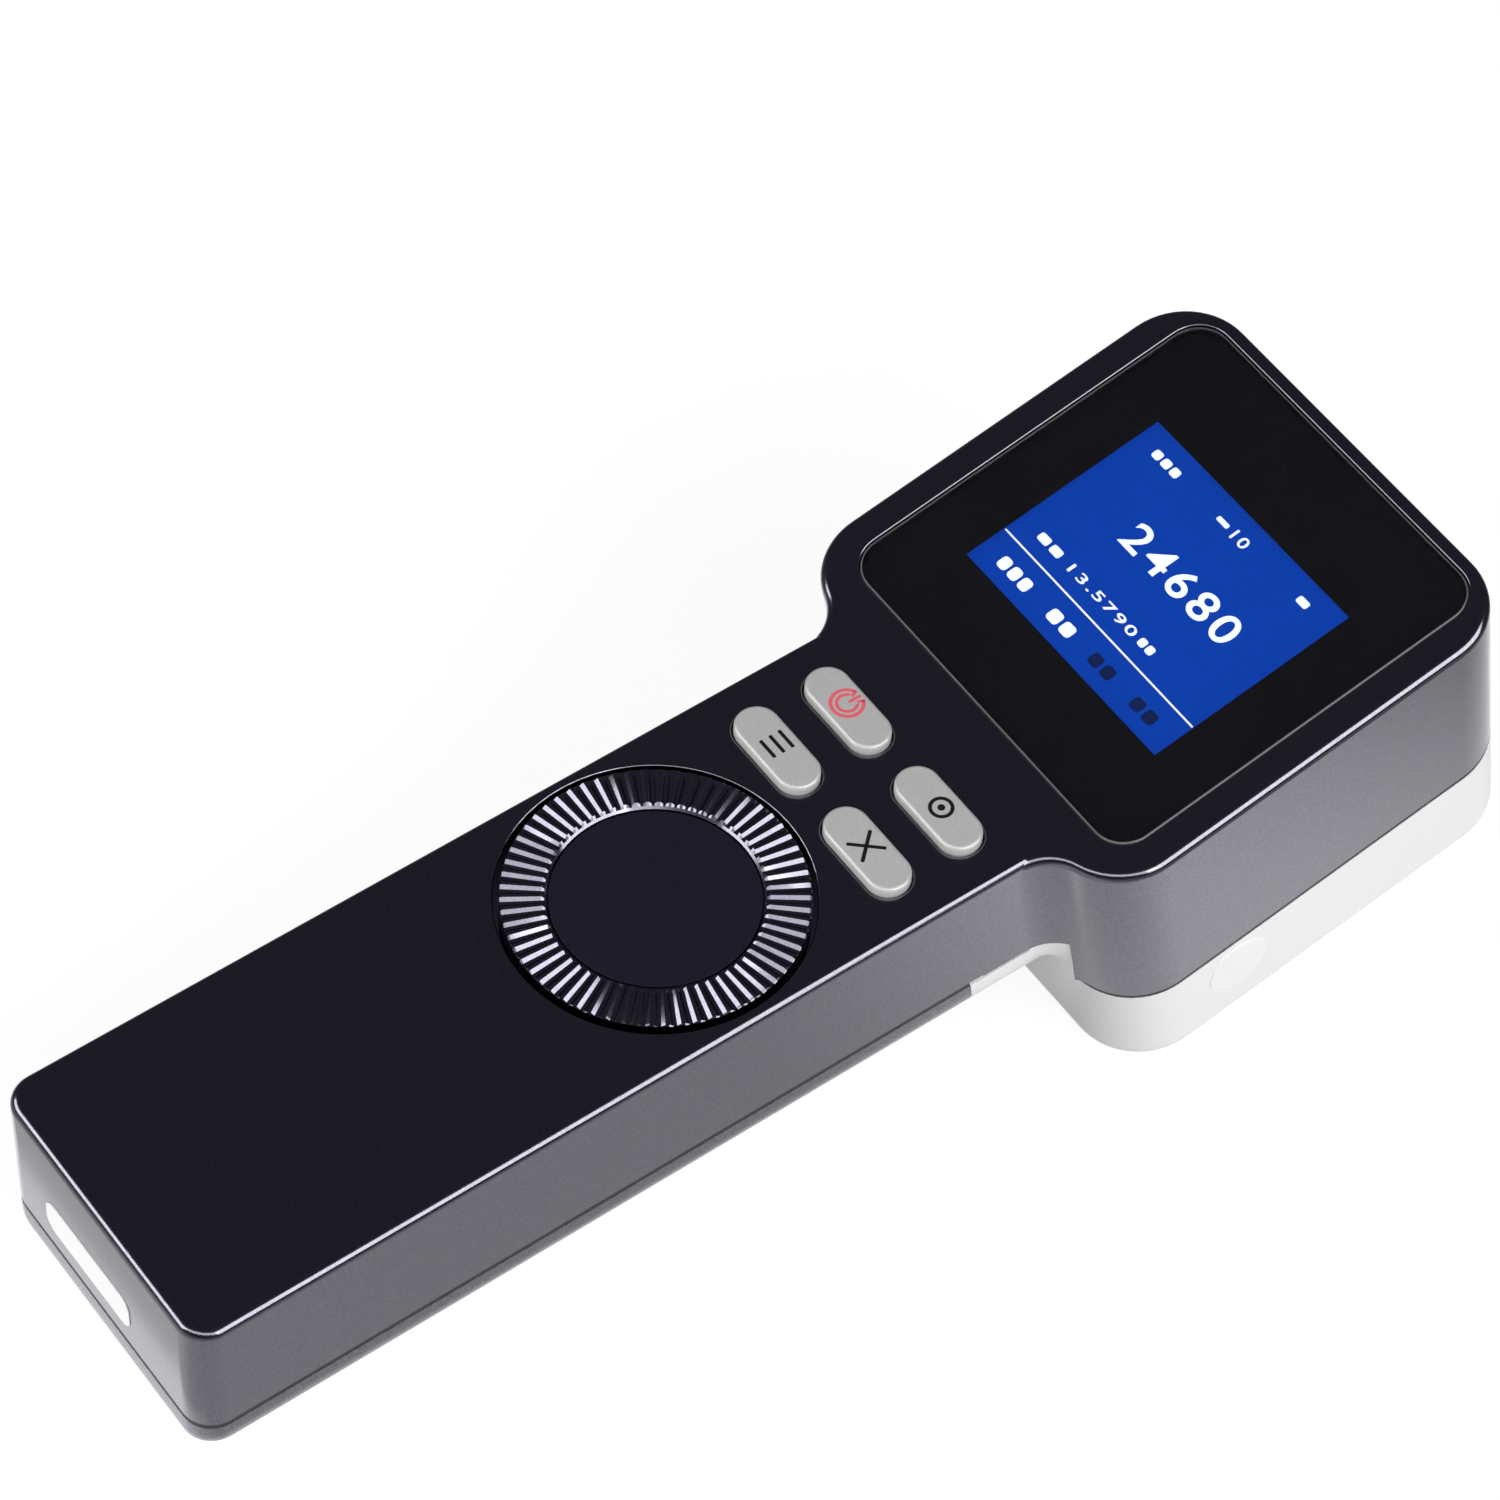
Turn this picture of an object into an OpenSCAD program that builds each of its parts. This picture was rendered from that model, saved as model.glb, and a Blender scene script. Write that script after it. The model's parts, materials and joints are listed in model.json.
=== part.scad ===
// Handheld stroboscope with a lamp of nine light-emitting diodes.
// It lies on its back as on a bench, on the end of its handle and on the rim of its lamp.
// Handle frame: x across, y from the handle's end to the head, z out of the front face.
// Head frame: the handle frame moved to the crease of the neck and tilted, so y runs up the head.

/* [Handle] */
// Width of the handle
handle_width = 55; // [53:0.5:58]
// Distance from the handle's end to the crease where the head tilts up
neck_distance = 154.8; // [152:0.2:160]
// Depth of the front shell at the handle
handle_front_depth = 26.2; // [25.6:0.1:28]
// Depth of the rear cover behind the front shell
cover_depth = 10.6; // [10:0.1:12]
// Rounding along the sides of the rear cover
cover_side_radius = 8.3; // [7:0.1:9]
// Rounding at the end of the rear cover
cover_end_radius = 7; // [5.5:0.1:8]
// Rounding of the handle's two end corners, seen from the front
handle_corner_radius = 5.2; // [4.6:0.1:7]
// Rounding of the front edges of handle and head
front_edge_radius = 1.6; // [1:0.1:2]
// Thickness of the moulded walls
wall = 2.2; // [1.9:0.1:2.4]

/* [Head] */
// Tilt of the head against the handle, in degrees
head_tilt = 10.7; // [9:0.1:12]
// Width of the head
head_width = 83.2; // [82.4:0.2:88]
// Length of the head
head_length = 83.9; // [83.2:0.1:88]
// Distance from the crease to the head's near wall
head_start = 3.5; // [3:0.1:4]
// Depth of the front shell at the head
head_front_depth = 39.5; // [38.5:0.1:43]
// Depth of the white lamp housing with its bezel
lamp_depth = 20.5; // [20:0.1:24]
// Rounding of the head's four corners, seen from the front
head_corner_radius = 12.5; // [11.5:0.1:13]
// Hollow rounding between neck and head
neck_fillet = 6; // [5:0.1:6.4]

/* [Lamp] */
// Distance from the head's sides to the axes of the outer lenses
lens_side_inset = 16.2; // [15.8:0.1:16.6]
// Distance from the head's ends to the axes of the outer lenses
lens_end_inset = 16.55; // [16.2:0.05:17]
// Diameter of a lens at its front
lens_diameter = 19.6; // [19:0.1:20]
// Height of a lens
lens_height = 12.5; // [11.5:0.1:13]
// Thickness of the lamp plate
plate_thickness = 1.5; // [1.2:0.1:1.8]
// Width of the bezel's rim round the lamp plate
rim_width = 2.3; // [2.1:0.1:2.5]
// Height of the bezel
bezel_height = 5; // [4.5:0.1:6]

/* [Display] */
// Width of the display window
window_width = 71.4; // [70:0.2:72]
// Length of the display window
window_length = 74; // [73:0.2:74.6]
// Distance from the crease to the window's near edge
window_start = 10.5; // [10:0.1:11]
// Width of the lit screen
screen_width = 49; // [46:0.5:52]
// Length of the lit screen
screen_length = 39.4; // [38:0.2:41]
// Distance from the crease to the screen's near edge
screen_start = 26.6; // [25:0.2:28]

/* [Controls] */
// Margin between the dial and the handle's side
dial_margin = 3.3; // [3.2:0.1:4]
// Radius of the dial's centre cap
cap_radius = 16.8; // [15.5:0.1:17.5]
// Number of ribs round the dial
rib_count = 62; // [50:1:70]
// Length of a key
key_length = 18.2; // [17:0.1:18.6]
// Width of a key
key_width = 7.6; // [7:0.1:7.8]
// Distance between the two columns of keys
key_column_pitch = 23.8; // [23:0.1:24.6]
// Distance from the crease to the upper row of keys
key_neck_gap = 6.65; // [6.2:0.05:7]
// Distance from the dial's well to the lower row of keys
key_dial_gap = 6.3; // [6.2:0.1:7]
// Distance between the two rows of keys
key_row_pitch = 13.95; // [13.5:0.05:14.5]
// Height of a key above the front face
key_height = 1.65; // [1.2:0.05:2]
// Travel of a key
key_travel = 0.8; // [0.5:0.1:0.9]

/* [Cells] */
// Diameter of a cell
cell_diameter = 18.4; // [18:0.1:18.6]
// Room for the leads between the cell tray and the socket board
cell_lead_room = 9.45; // [8:0.05:12]

/* [Hidden] */
$fn = 64;

// Fits and small clearances
slip = 0.15;
inner_play = 0.3;
shaft_play = 0.05;
screw_play = 0.02;
seam_height = 0.6;
seam_depth = 0.8;
overlap = 1;

// Widths and depths that follow from the handle
handle_half = handle_width / 2;
inner_half = handle_half - wall;
front_wall = 2.4;
back_depth = handle_front_depth + cover_depth;
cover_floor = back_depth - wall;
neck_reach = 12;
handle_length = neck_distance + neck_reach;
cover_end = -14.6;
corner_flat = 0.4;

// Widths and depths that follow from the head
head_half = head_width / 2;
head_front_wall = 2.6;
head_middle = head_start + head_length / 2;
rim_depth = head_front_depth + lamp_depth;
bezel_top = rim_depth - bezel_height;
rim_edge_radius = 1.4;
step_half = handle_half + 3.1;
fillet_bite = 0.2;
fillet_x = handle_half + neck_fillet - fillet_bite;
fillet_start = head_start - neck_fillet + fillet_bite;
strip_edge_radius = front_edge_radius + 0.05;

// Lamp stack, as depths below the head's front face
plate_recess = 0.8;
plate_face = rim_depth - plate_recess;
plate_back = plate_face - plate_thickness;
lens_recess = 0.3;
lens_face = plate_face - lens_recess;
lens_lip = 1.5;
lens_base_radius = 5.5;
board_thickness = 1.6;
led_board_face = lens_face - lens_height;
led_board_back = led_board_face - board_thickness;
sink_base = 4;
sink_top = led_board_back - sink_base;
lug_thickness = 2;
lug_radius = 5.5;
lug_depth = led_board_back + lug_thickness;
lens_pitch = head_half - lens_side_inset;
lens_row_pitch = head_length / 2 - lens_end_inset;
ledge_margin = 0.8;
ledge_half_width = lens_pitch + lens_diameter / 2 + ledge_margin;
ledge_half_length = lens_row_pitch + lens_diameter / 2 + ledge_margin;
led_board_margin = 6.6;
led_board_half_width = lens_pitch + led_board_margin;
led_board_half_length = lens_row_pitch + led_board_margin;
lens_cavity_radius = 4;
lens_cavity_height = 5.5;
led_base = 3.5;
led_base_height = 0.8;
led_dome_radius = 1.6;

// Posts and screws of the head
head_post_radius = 3;
head_post_inset = 7.6;
head_post_x = head_half - head_post_inset;
head_post_y = head_length / 2 - head_post_inset;
sink_screw_radius = 1.5;
sink_screw_head = 2.5;
sink_screw_head_height = 2.2;
sink_screw_grip = 8;

// Fins of the heat sink, between its edges and clear of the posts
sink_play = wall + inner_play;
fin_height = 14.8;
fin_thickness = 2;
fin_count = 9;
fin_edge = 2.1;
fin_post_gap = 2.85;
fin_pitch = (head_width - 2 * sink_play - 2 * fin_edge - fin_thickness) / (fin_count - 1);
fin_length = 2 * (head_post_y - head_post_radius - fin_post_gap);

// Lead tongue of the lamp board and the notch above it
tongue_x = 9;
tongue_width = 9;
tongue_start = head_start + 6;
notch_end = head_start + 9;
lead_radius = 0.7;
lead_gap = 1.8;

// Display pocket
window_thickness = 1.5;
window_recess = 0.15;
pocket_depth = window_thickness + window_recess;
window_corner = 6;
window_middle = window_start + window_length / 2;
screen_middle = screen_start + screen_length / 2;
screen_margin = 0.8;
lcd_side_border = 5.5;
lcd_end_border = 5.3;
lcd_width = screen_width + 2 * lcd_side_border;
lcd_length = screen_length + 2 * lcd_end_border;
lcd_thickness = 3.5;
ribbon_width = 16;
ribbon_thickness = 0.3;

// Main board, in front of the cells
tray_floor = 1;
cell_play = 0.6;
board_back = cover_floor - tray_floor - cell_diameter - cell_play;
board_face = board_back - board_thickness;
board_half = handle_half - 4.5;
board_length = 95;
board_end = neck_distance + 6.6;
board_start = board_end - board_length;
board_post_radius = 2.5;
board_post_x = handle_half - 7.5;
board_post_places = [board_start + 4, board_end - 3];
board_screw_radius = 0.9;
board_screw_head = 2;
board_screw_head_height = 1.4;
board_screw_length = 7;

// Dial, its well and the encoder
dial_radius = handle_half - dial_margin;
well_radius = dial_radius + 1.5;
well_floor = 4;
well_thickness = 1.6;
well_wall = 1.4;
dial_bottom = 3.6;
dial_flange = 1;
dial_flange_radius = cap_radius + 4;
cap_top = 0.05;
ring_crown = 0.7;
ring_edge = 0.5;
rib_groove = 0.8;
rib_groove_depth = 0.6;
shaft_radius = 3;
shaft_top = 1.5;
shaft_end_play = 0.2;
encoder_size = 14;
encoder_top = 6.4;
encoder_floor = 0.6;
encoder_bore_end = board_face - encoder_floor;
shaft_bottom = encoder_bore_end - shaft_end_play;

// Keys, mat and switches
key_gap = 0.3;
key_bevel = 0.5;
key_flange = 0.8;
key_flange_top = front_wall + inner_play;
key_flange_bottom = key_flange_top + 1;
mat_top = key_flange_bottom + key_travel + inner_play;
mat_thickness = 1;
mat_margin = 3.8;
switch_size = 6;
switch_height = 3.5;
switch_stem_radius = 1.75;
key_x = key_column_pitch / 2;
key_row_place = neck_distance - key_neck_gap - key_row_pitch;
key_rows = [key_row_place, key_row_place + key_row_pitch];
dial_place = key_row_place - key_dial_gap - well_radius;

// Cover screws and their posts
screw_x = handle_half - cover_side_radius;
screw_end_inset = 5.2;
screw_neck_gap = 28.1;
screw_places = [screw_end_inset, neck_distance - screw_neck_gap];
cover_post_radius = 2.5;
cover_boss_radius = 3.5;
counterbore_radius = 2.5;
counterbore_depth = 2.4;
cover_screw_radius = 1;
cover_screw_head = 1.8;
cover_screw_head_height = 1.6;
cover_screw_length = 14.4;
cross_width = 0.5;
cross_length = 2;
cross_depth = 0.7;

// Side sockets and their board
port_neck_gap = 59.4;
port_pitch = 9.5;
port_places = [for (i = [0 : 2]) neck_distance - port_neck_gap + i * port_pitch];
port_width = 7;
port_height = 3.4;
port_length = 8;
port_depth = handle_front_depth - 3;
port_mouth_width = 5.6;
port_mouth_height = 2;
port_mouth_depth = 5;
port_recess = 0.5;
port_board_width = 12;
port_board_margin = 3.5;
port_board_thickness = 1.2;
header_width = 3;
header_length = 19;
port_board_top = port_depth - port_height / 2 - port_board_thickness;
port_board_outer = inner_half - 0.4;
port_board_start = port_places[0] - port_width / 2 - port_board_margin;
port_board_end = port_places[2] + port_width / 2 + port_board_margin;

// Cells and tray, between the handle's end and the socket board
cell_start = 12.2;
cell_x = cell_diameter / 2 + 0.2;
tray_half = screw_x - 0.3;
tray_wall = 1.6;
tray_wall_height = 16;
cell_length = port_board_start - cell_lead_room - tray_wall - slip - cell_start;
cell_depth = cover_floor - tray_floor - cell_diameter / 2;
battery_lead_x = 3;
battery_lead_drop = 5.4;
battery_lead_depth = board_back + battery_lead_drop;

// Labels
label_thickness = 0.15;
head_label_diameter = 11.4;
head_label_place = [23.8, 7.9];
end_label_size = [23.4, 7.6];
end_label_corner = 2.6;
end_label_place = [-3.4, 17.8];

// Pose on the bench: the line that touches the cover's end rounding and the rim's near edge
function from_head(p) = [
    neck_distance + p[0] * cos(head_tilt) - p[1] * sin(head_tilt),
    p[0] * sin(head_tilt) + p[1] * cos(head_tilt)
];
function to_head(p) = [
    (p[0] - neck_distance) * cos(head_tilt) + p[1] * sin(head_tilt),
    p[1] * cos(head_tilt) - (p[0] - neck_distance) * sin(head_tilt)
];
rest_a = [cover_end_radius, cover_end_radius - back_depth];
rest_b = from_head([head_start + rim_edge_radius, rim_edge_radius - rim_depth]);
rest_span = rest_b - rest_a;
rest_turn = asin((cover_end_radius - rim_edge_radius) / norm(rest_span));
lie = -(atan2(rest_span[1], rest_span[0]) + rest_turn);
lift = cover_end_radius - rest_a[0] * sin(lie) - rest_a[1] * cos(lie);
far_edge = from_head([head_start + head_length - rim_edge_radius, rim_edge_radius - rim_depth]);
nearest_y = front_edge_radius * (cos(lie) + sin(lie) - 1);
farthest_y = far_edge[0] * cos(lie) - far_edge[1] * sin(lie) + rim_edge_radius;
middle_y = (nearest_y + farthest_y) / 2;

// Frames
module laid() {
    translate([0, -middle_y, lift])
        rotate([lie, 0, 0])
            children();
}

module in_head() {
    translate([0, neck_distance, 0])
        rotate([head_tilt, 0, 0])
            children();
}

module in_lamp() {
    in_head()
        translate([0, head_middle, 0])
            children();
}

// A layer between two depths below the front face
module layer(top, bottom) {
    translate([0, 0, -bottom])
        linear_extrude(bottom - top)
            children();
}

module both_sides() {
    children();
    mirror([1, 0, 0])
        children();
}

module four_corners(x, y) {
    for (side_x = [-1, 1], side_y = [-1, 1])
        translate([side_x * x, side_y * y])
            children();
}

// Flat outlines
module rounded_plan(width, length, radius) {
    square([width - 2 * radius, length], center = true);
    square([width, length - 2 * radius], center = true);
    four_corners(width / 2 - radius, length / 2 - radius)
        circle(radius);
}

module pill(length, width) {
    square([length - width, width], center = true);
    for (side = [-1, 1])
        translate([side * (length - width) / 2, 0])
            circle(width / 2);
}

// Half section of a wall block: outer edge at x = reach, top edge rounded
module edge_section(reach, depth, radius) {
    square_side = reach - radius;
    translate([0, -depth])
        square([square_side, depth]);
    translate([0, -depth])
        square([reach, depth - radius]);
    translate([square_side, -radius])
        intersection() {
            circle(radius);
            square(radius);
        }
}

// Block below z = 0 whose plan corners and front edges are rounded
module front_block(width, length, depth, corner, edge) {
    rotate([90, 0, 0])
        linear_extrude(length - 2 * corner, center = true)
            both_sides()
                edge_section(width / 2, depth, edge);
    for (turn = [0, 180])
        rotate([0, 0, turn])
            translate([0, length / 2 - corner, 0])
                rotate([90, 0, 90])
                    linear_extrude(width - 2 * corner, center = true)
                        edge_section(corner, depth, edge);
    for (side = [-1, 1])
        both_sides()
            translate([width / 2 - corner, side * (length / 2 - corner), 0])
                rotate([0, 0, side > 0 ? 0 : -90])
                    rotate_extrude(angle = 90)
                        edge_section(corner, depth, edge);
}

// Block of the handle below z = 0, with its end corners and front edges rounded
module handle_block(inset, depth, edge) {
    corner = handle_corner_radius - inset;
    corner_x = handle_half - handle_corner_radius;
    translate([0, handle_length, 0])
        rotate([90, 0, 0])
            linear_extrude(handle_length - handle_corner_radius)
                both_sides()
                    edge_section(handle_half - inset, depth, edge);
    translate([0, handle_corner_radius, 0])
        rotate([90, 0, -90])
            linear_extrude(2 * corner_x, center = true)
                edge_section(corner, depth, edge);
    both_sides()
        translate([corner_x, handle_corner_radius, 0])
            rotate([0, 0, -90])
                rotate_extrude(angle = 90)
                    edge_section(corner, depth, edge);
}

// Front shell, outer form
// The tilted strip that carries the head's front face down to the crease
module neck_strip() {
    strip_depth = 8;
    translate([0, neck_reach, 0])
        rotate([90, 0, 0])
            linear_extrude(2 * neck_reach - 2)
                both_sides()
                    edge_section(handle_half, strip_depth, strip_edge_radius);
}

// Hollow rounding between the neck's side and the head's near wall
module neck_corner(depth, edge) {
    outer = neck_fillet + 4;
    both_sides()
        translate([fillet_x, fillet_start, 0])
            rotate([0, 0, 90])
                rotate_extrude(angle = 90)
                    difference() {
                        translate([neck_fillet, -depth])
                            square([outer - neck_fillet, depth]);
                        difference() {
                            translate([neck_fillet, -edge])
                                square([edge, edge]);
                            translate([neck_fillet + edge, -edge])
                                circle(edge);
                        }
                    }
}

// Room behind the handle's front shell at the neck, which the lamp housing fills
module neck_room() {
    room_reach = 30;
    translate([-step_half, neck_distance - room_reach, -2 * back_depth])
        cube([2 * step_half, 2 * room_reach, 2 * back_depth - handle_front_depth]);
}

module front_outer() {
    difference() {
        union() {
            in_lamp()
                front_block(head_width, head_length, head_front_depth, head_corner_radius,
                    front_edge_radius);
            in_head()
                neck_corner(head_front_depth, front_edge_radius);
        }
        neck_room();
    }
    handle_block(0, handle_front_depth, front_edge_radius);
    in_head()
        neck_strip();
}

module front_inner() {
    translate([-inner_half, wall, -handle_front_depth - overlap])
        cube([2 * inner_half, handle_length, handle_front_depth + overlap - front_wall]);
    in_lamp()
        layer(head_front_wall, head_front_depth + overlap)
            rounded_plan(head_width - 2 * wall, head_length - 2 * wall, head_corner_radius - wall);
}

module cover_screw_places() {
    both_sides()
        for (place = screw_places)
            translate([screw_x, place, 0])
                children();
}

module board_screw_places() {
    both_sides()
        for (place = board_post_places)
            translate([board_post_x, place, 0])
                children();
}

module key_place(column, row) {
    translate([column * key_x, key_rows[row], 0])
        children();
}

module key_places() {
    for (column = [-1, 1], row = [0, 1])
        key_place(column, row)
            children();
}

module shell_posts() {
    post_embed = front_wall - 0.6;
    cover_screw_places()
        layer(post_embed, handle_front_depth)
            circle(cover_post_radius);
    board_screw_places()
        layer(post_embed, board_face)
            circle(board_post_radius);
    translate([0, dial_place, 0])
        layer(post_embed, well_floor + well_thickness)
            circle(well_radius + well_wall);
    in_lamp()
        layer(head_front_wall - 0.4, sink_top)
            four_corners(head_post_x, head_post_y)
                circle(head_post_radius);
}

module shell_openings() {
    pilot_extra = 1;
    translate([0, dial_place, overlap]) {
        layer(0, well_floor + overlap)
            circle(well_radius);
        layer(0, well_floor + well_thickness + 2 * overlap)
            circle(shaft_radius + 2 * inner_play);
    }
    key_places()
        translate([0, 0, overlap])
            layer(0, front_wall + 2 * overlap)
                pill(key_length + 2 * key_gap, key_width + 2 * key_gap);
    in_head()
        translate([0, window_middle, overlap])
            layer(0, pocket_depth + overlap)
                rounded_plan(window_width + 2 * slip, window_length + 2 * slip, window_corner + slip);
    in_head()
        translate([0, screen_middle, 0])
            layer(0, head_front_wall + overlap)
                square([screen_width + 2 * screen_margin, screen_length + 2 * screen_margin],
                    center = true);
    for (place = port_places)
        translate([-handle_half, place, -port_depth])
            cube([4 * wall, port_width + 2 * slip, port_height + 2 * slip], center = true);
    cover_screw_places()
        layer(handle_front_depth - cover_screw_length + 6, handle_front_depth + overlap)
            circle(cover_screw_radius + screw_play);
    board_screw_places()
        layer(board_back - board_screw_length - pilot_extra, board_face + overlap)
            circle(board_screw_radius + screw_play);
    in_lamp()
        layer(sink_top - sink_screw_grip - pilot_extra, sink_top + overlap)
            four_corners(head_post_x, head_post_y)
                circle(sink_screw_radius + screw_play);
}

module front_shell() {
    color("#24242e")
        laid()
            difference() {
                union() {
                    difference() {
                        front_outer();
                        front_inner();
                    }
                    shell_posts();
                }
                shell_openings();
            }
}

// Rear cover and saddle: section across the handle, drawn below the front face
module back_section(inset) {
    half = handle_half - inset;
    depth = back_depth - inset;
    radius = cover_side_radius - inset;
    top = handle_front_depth - inset;
    intersection() {
        union() {
            translate([-half, -depth + radius])
                square([2 * half, depth - radius]);
            translate([-half + radius, -depth])
                square([2 * (half - radius), depth]);
            for (side = [-1, 1])
                translate([side * (half - radius), -depth + radius])
                    circle(radius);
        }
        translate([-half, -depth])
            square([2 * half, depth - top]);
    }
}

// The same along the handle, with the rounded end at y = inset
module back_side_view(inset) {
    depth = back_depth - inset;
    radius = cover_end_radius - inset;
    length = handle_length - inset;
    top = handle_front_depth - inset;
    intersection() {
        union() {
            translate([inset, -depth + radius])
                square([length, depth - radius]);
            translate([inset + radius, -depth])
                square([length - radius, depth]);
            translate([inset + radius, -depth + radius])
                circle(radius);
        }
        translate([inset, -depth])
            square([length, depth - top]);
    }
}

module back_plan(inset) {
    radius = handle_corner_radius - inset;
    length = handle_length - inset;
    half = handle_half - inset;
    translate([-half, inset + radius])
        square([2 * half, length - radius]);
    translate([-half + radius, inset])
        square([2 * (half - radius), length]);
    both_sides()
        translate([half - radius, inset + radius])
            circle(radius);
}

module back_form(inset) {
    intersection() {
        translate([0, handle_length, 0])
            rotate([90, 0, 0])
                linear_extrude(handle_length)
                    back_section(inset);
        rotate([90, 0, 90])
            linear_extrude(handle_width, center = true)
                back_side_view(inset);
        translate([0, 0, inset - back_depth])
            mirror([0, 0, 1])
                handle_block(inset, cover_depth, handle_corner_radius - inset - corner_flat);
    }
}

// Everything on the head's side of the plane where the rear cover ends
module beyond_cover() {
    room = 3 * back_depth;
    in_head()
        translate([-handle_width, cover_end, -room])
            cube([2 * handle_width, 2 * handle_length, 2 * room]);
}

// Shadow groove along the parting line of the handle
module handle_seam() {
    layer(handle_front_depth, handle_front_depth + seam_height)
        difference() {
            translate([-handle_width, -overlap])
                square([2 * handle_width, handle_length + overlap]);
            back_plan(seam_depth);
        }
}

module rear_cover() {
    boss_top = handle_front_depth;
    color("#202024")
        laid()
            difference() {
                union() {
                    difference() {
                        back_form(0);
                        back_form(wall);
                        handle_seam();
                    }
                    intersection() {
                        back_form(0);
                        cover_screw_places()
                            layer(boss_top, cover_floor + overlap)
                                circle(cover_boss_radius);
                        layer(boss_top, back_depth)
                            back_plan(seam_depth);
                    }
                }
                beyond_cover();
                cover_screw_places()
                    layer(back_depth - counterbore_depth, back_depth + overlap)
                        circle(counterbore_radius);
                cover_screw_places()
                    layer(boss_top - overlap, back_depth)
                        circle(cover_screw_radius + slip);
            }
}

module cover_screws() {
    seat = back_depth - counterbore_depth;
    head_end = seat + cover_screw_head_height;
    color("silver")
        laid()
            cover_screw_places()
                difference() {
                    union() {
                        layer(seat, head_end)
                            circle(cover_screw_head);
                        layer(seat - cover_screw_length, seat + 0.5)
                            circle(cover_screw_radius);
                    }
                    for (turn = [0, 90])
                        rotate([0, 0, turn])
                            layer(head_end - cross_depth, head_end + overlap)
                                square([cross_length, cross_width], center = true);
                }
}

// Hollow rounding that wraps the saddle where it meets the lamp housing
module skirt_section(radius) {
    embed = 3;
    root = wall / 2;
    difference() {
        translate([-root, 0])
            square([radius + root, radius + embed]);
        translate([radius, 0])
            circle(radius);
    }
}

module saddle_skirt() {
    root = from_head([fillet_start, -back_depth]);
    corner_n = to_head([root[0], cover_side_radius - back_depth])[1];
    both_sides() {
        translate([handle_half - fillet_bite, fillet_start, corner_n])
            linear_extrude(back_depth)
                skirt_section(neck_fillet);
        translate([screw_x - fillet_bite, fillet_start, corner_n])
            rotate([-90, 0, 0])
                rotate_extrude(angle = 90)
                    translate([cover_side_radius, 0])
                        skirt_section(neck_fillet);
    }
    translate([0, fillet_start, corner_n - cover_side_radius])
        rotate([0, 90, 0])
            linear_extrude(2 * (screw_x - fillet_bite), center = true)
                skirt_section(neck_fillet);
}

module saddle(inset, end_inset) {
    intersection() {
        translate([0, handle_length, 0])
            rotate([90, 0, 0])
                linear_extrude(handle_length)
                    back_section(inset);
        in_head()
            translate([-handle_width, cover_end - inset, -2 * back_depth])
                cube([2 * handle_width, head_start + end_inset - cover_end + inset, 3 * back_depth]);
    }
}

module lamp_housing_outer() {
    in_lamp()
        layer(head_front_depth, bezel_top)
            rounded_plan(head_width, head_length, head_corner_radius);
    saddle(0, wall / 2);
    difference() {
        in_head() {
            intersection() {
                saddle_skirt();
                translate([-step_half, -head_length, -bezel_top])
                    cube([2 * step_half, 2 * head_length, bezel_top]);
            }
            translate([-step_half, head_start, -head_front_depth - wall])
                cube([2 * step_half, wall, head_front_depth]);
        }
        layer(-back_depth, handle_front_depth)
            translate([-head_width, 0])
                square([2 * head_width, 2 * handle_length]);
    }
}

// Shadow grooves where the front shell meets the housing and the saddle
module housing_seam() {
    in_lamp()
        difference() {
            layer(head_front_depth, head_front_depth + seam_height)
                square(2 * head_width, center = true);
            layer(head_front_depth - overlap, head_front_depth + 2 * seam_height)
                rounded_plan(head_width - 2 * seam_depth, head_length - 2 * seam_depth,
                    head_corner_radius - seam_depth);
            translate([-step_half, -head_length, -2 * head_front_depth])
                cube([2 * step_half, head_length, 3 * head_front_depth]);
        }
}

module lamp_housing() {
    color("whitesmoke")
        laid() {
            difference() {
                lamp_housing_outer();
                in_lamp()
                    layer(head_front_depth - 2 * back_depth, bezel_top + overlap)
                        rounded_plan(head_width - 2 * wall, head_length - 2 * wall,
                            head_corner_radius - wall);
                saddle(wall, -wall);
                saddle_seam();
                housing_seam();
            }
            in_lamp()
                layer(led_board_back, lug_depth)
                    difference() {
                        intersection() {
                            four_corners(head_post_x, head_post_y)
                                circle(lug_radius);
                            rounded_plan(head_width - wall, head_length - wall,
                                head_corner_radius - wall / 2);
                        }
                        four_corners(head_post_x, head_post_y)
                            circle(sink_screw_radius + slip);
                    }
        }
}

module saddle_seam() {
    difference() {
        intersection() {
            handle_seam();
            beyond_cover();
        }
        in_head()
            translate([-head_width, fillet_start - seam_height, -2 * head_front_depth])
                cube([2 * head_width, head_length, 3 * head_front_depth]);
    }
}

// Lamp
module lamp_bezel() {
    color("whitesmoke")
        laid()
            in_lamp()
                difference() {
                    translate([0, 0, -rim_depth])
                        mirror([0, 0, 1])
                            front_block(head_width, head_length, bezel_height, head_corner_radius,
                                rim_edge_radius);
                    layer(plate_back, rim_depth + overlap)
                        rounded_plan(head_width - 2 * rim_width, head_length - 2 * rim_width,
                            head_corner_radius - rim_width);
                    layer(bezel_top - overlap, rim_depth)
                        rounded_plan(2 * ledge_half_width, 2 * ledge_half_length, 3);
                }
}

module lens_places() {
    for (column = [-1, 0, 1], row = [-1, 0, 1])
        translate([column * lens_pitch, row * lens_row_pitch, 0])
            children();
}

module lamp_plate() {
    hole_play = 0.2;
    color("silver")
        laid()
            in_lamp()
                layer(plate_back, plate_face)
                    difference() {
                        rounded_plan(head_width - 2 * rim_width - 2 * slip,
                            head_length - 2 * rim_width - 2 * slip,
                            head_corner_radius - rim_width - slip);
                        lens_places()
                            circle(lens_diameter / 2 + hole_play);
                    }
}

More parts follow.
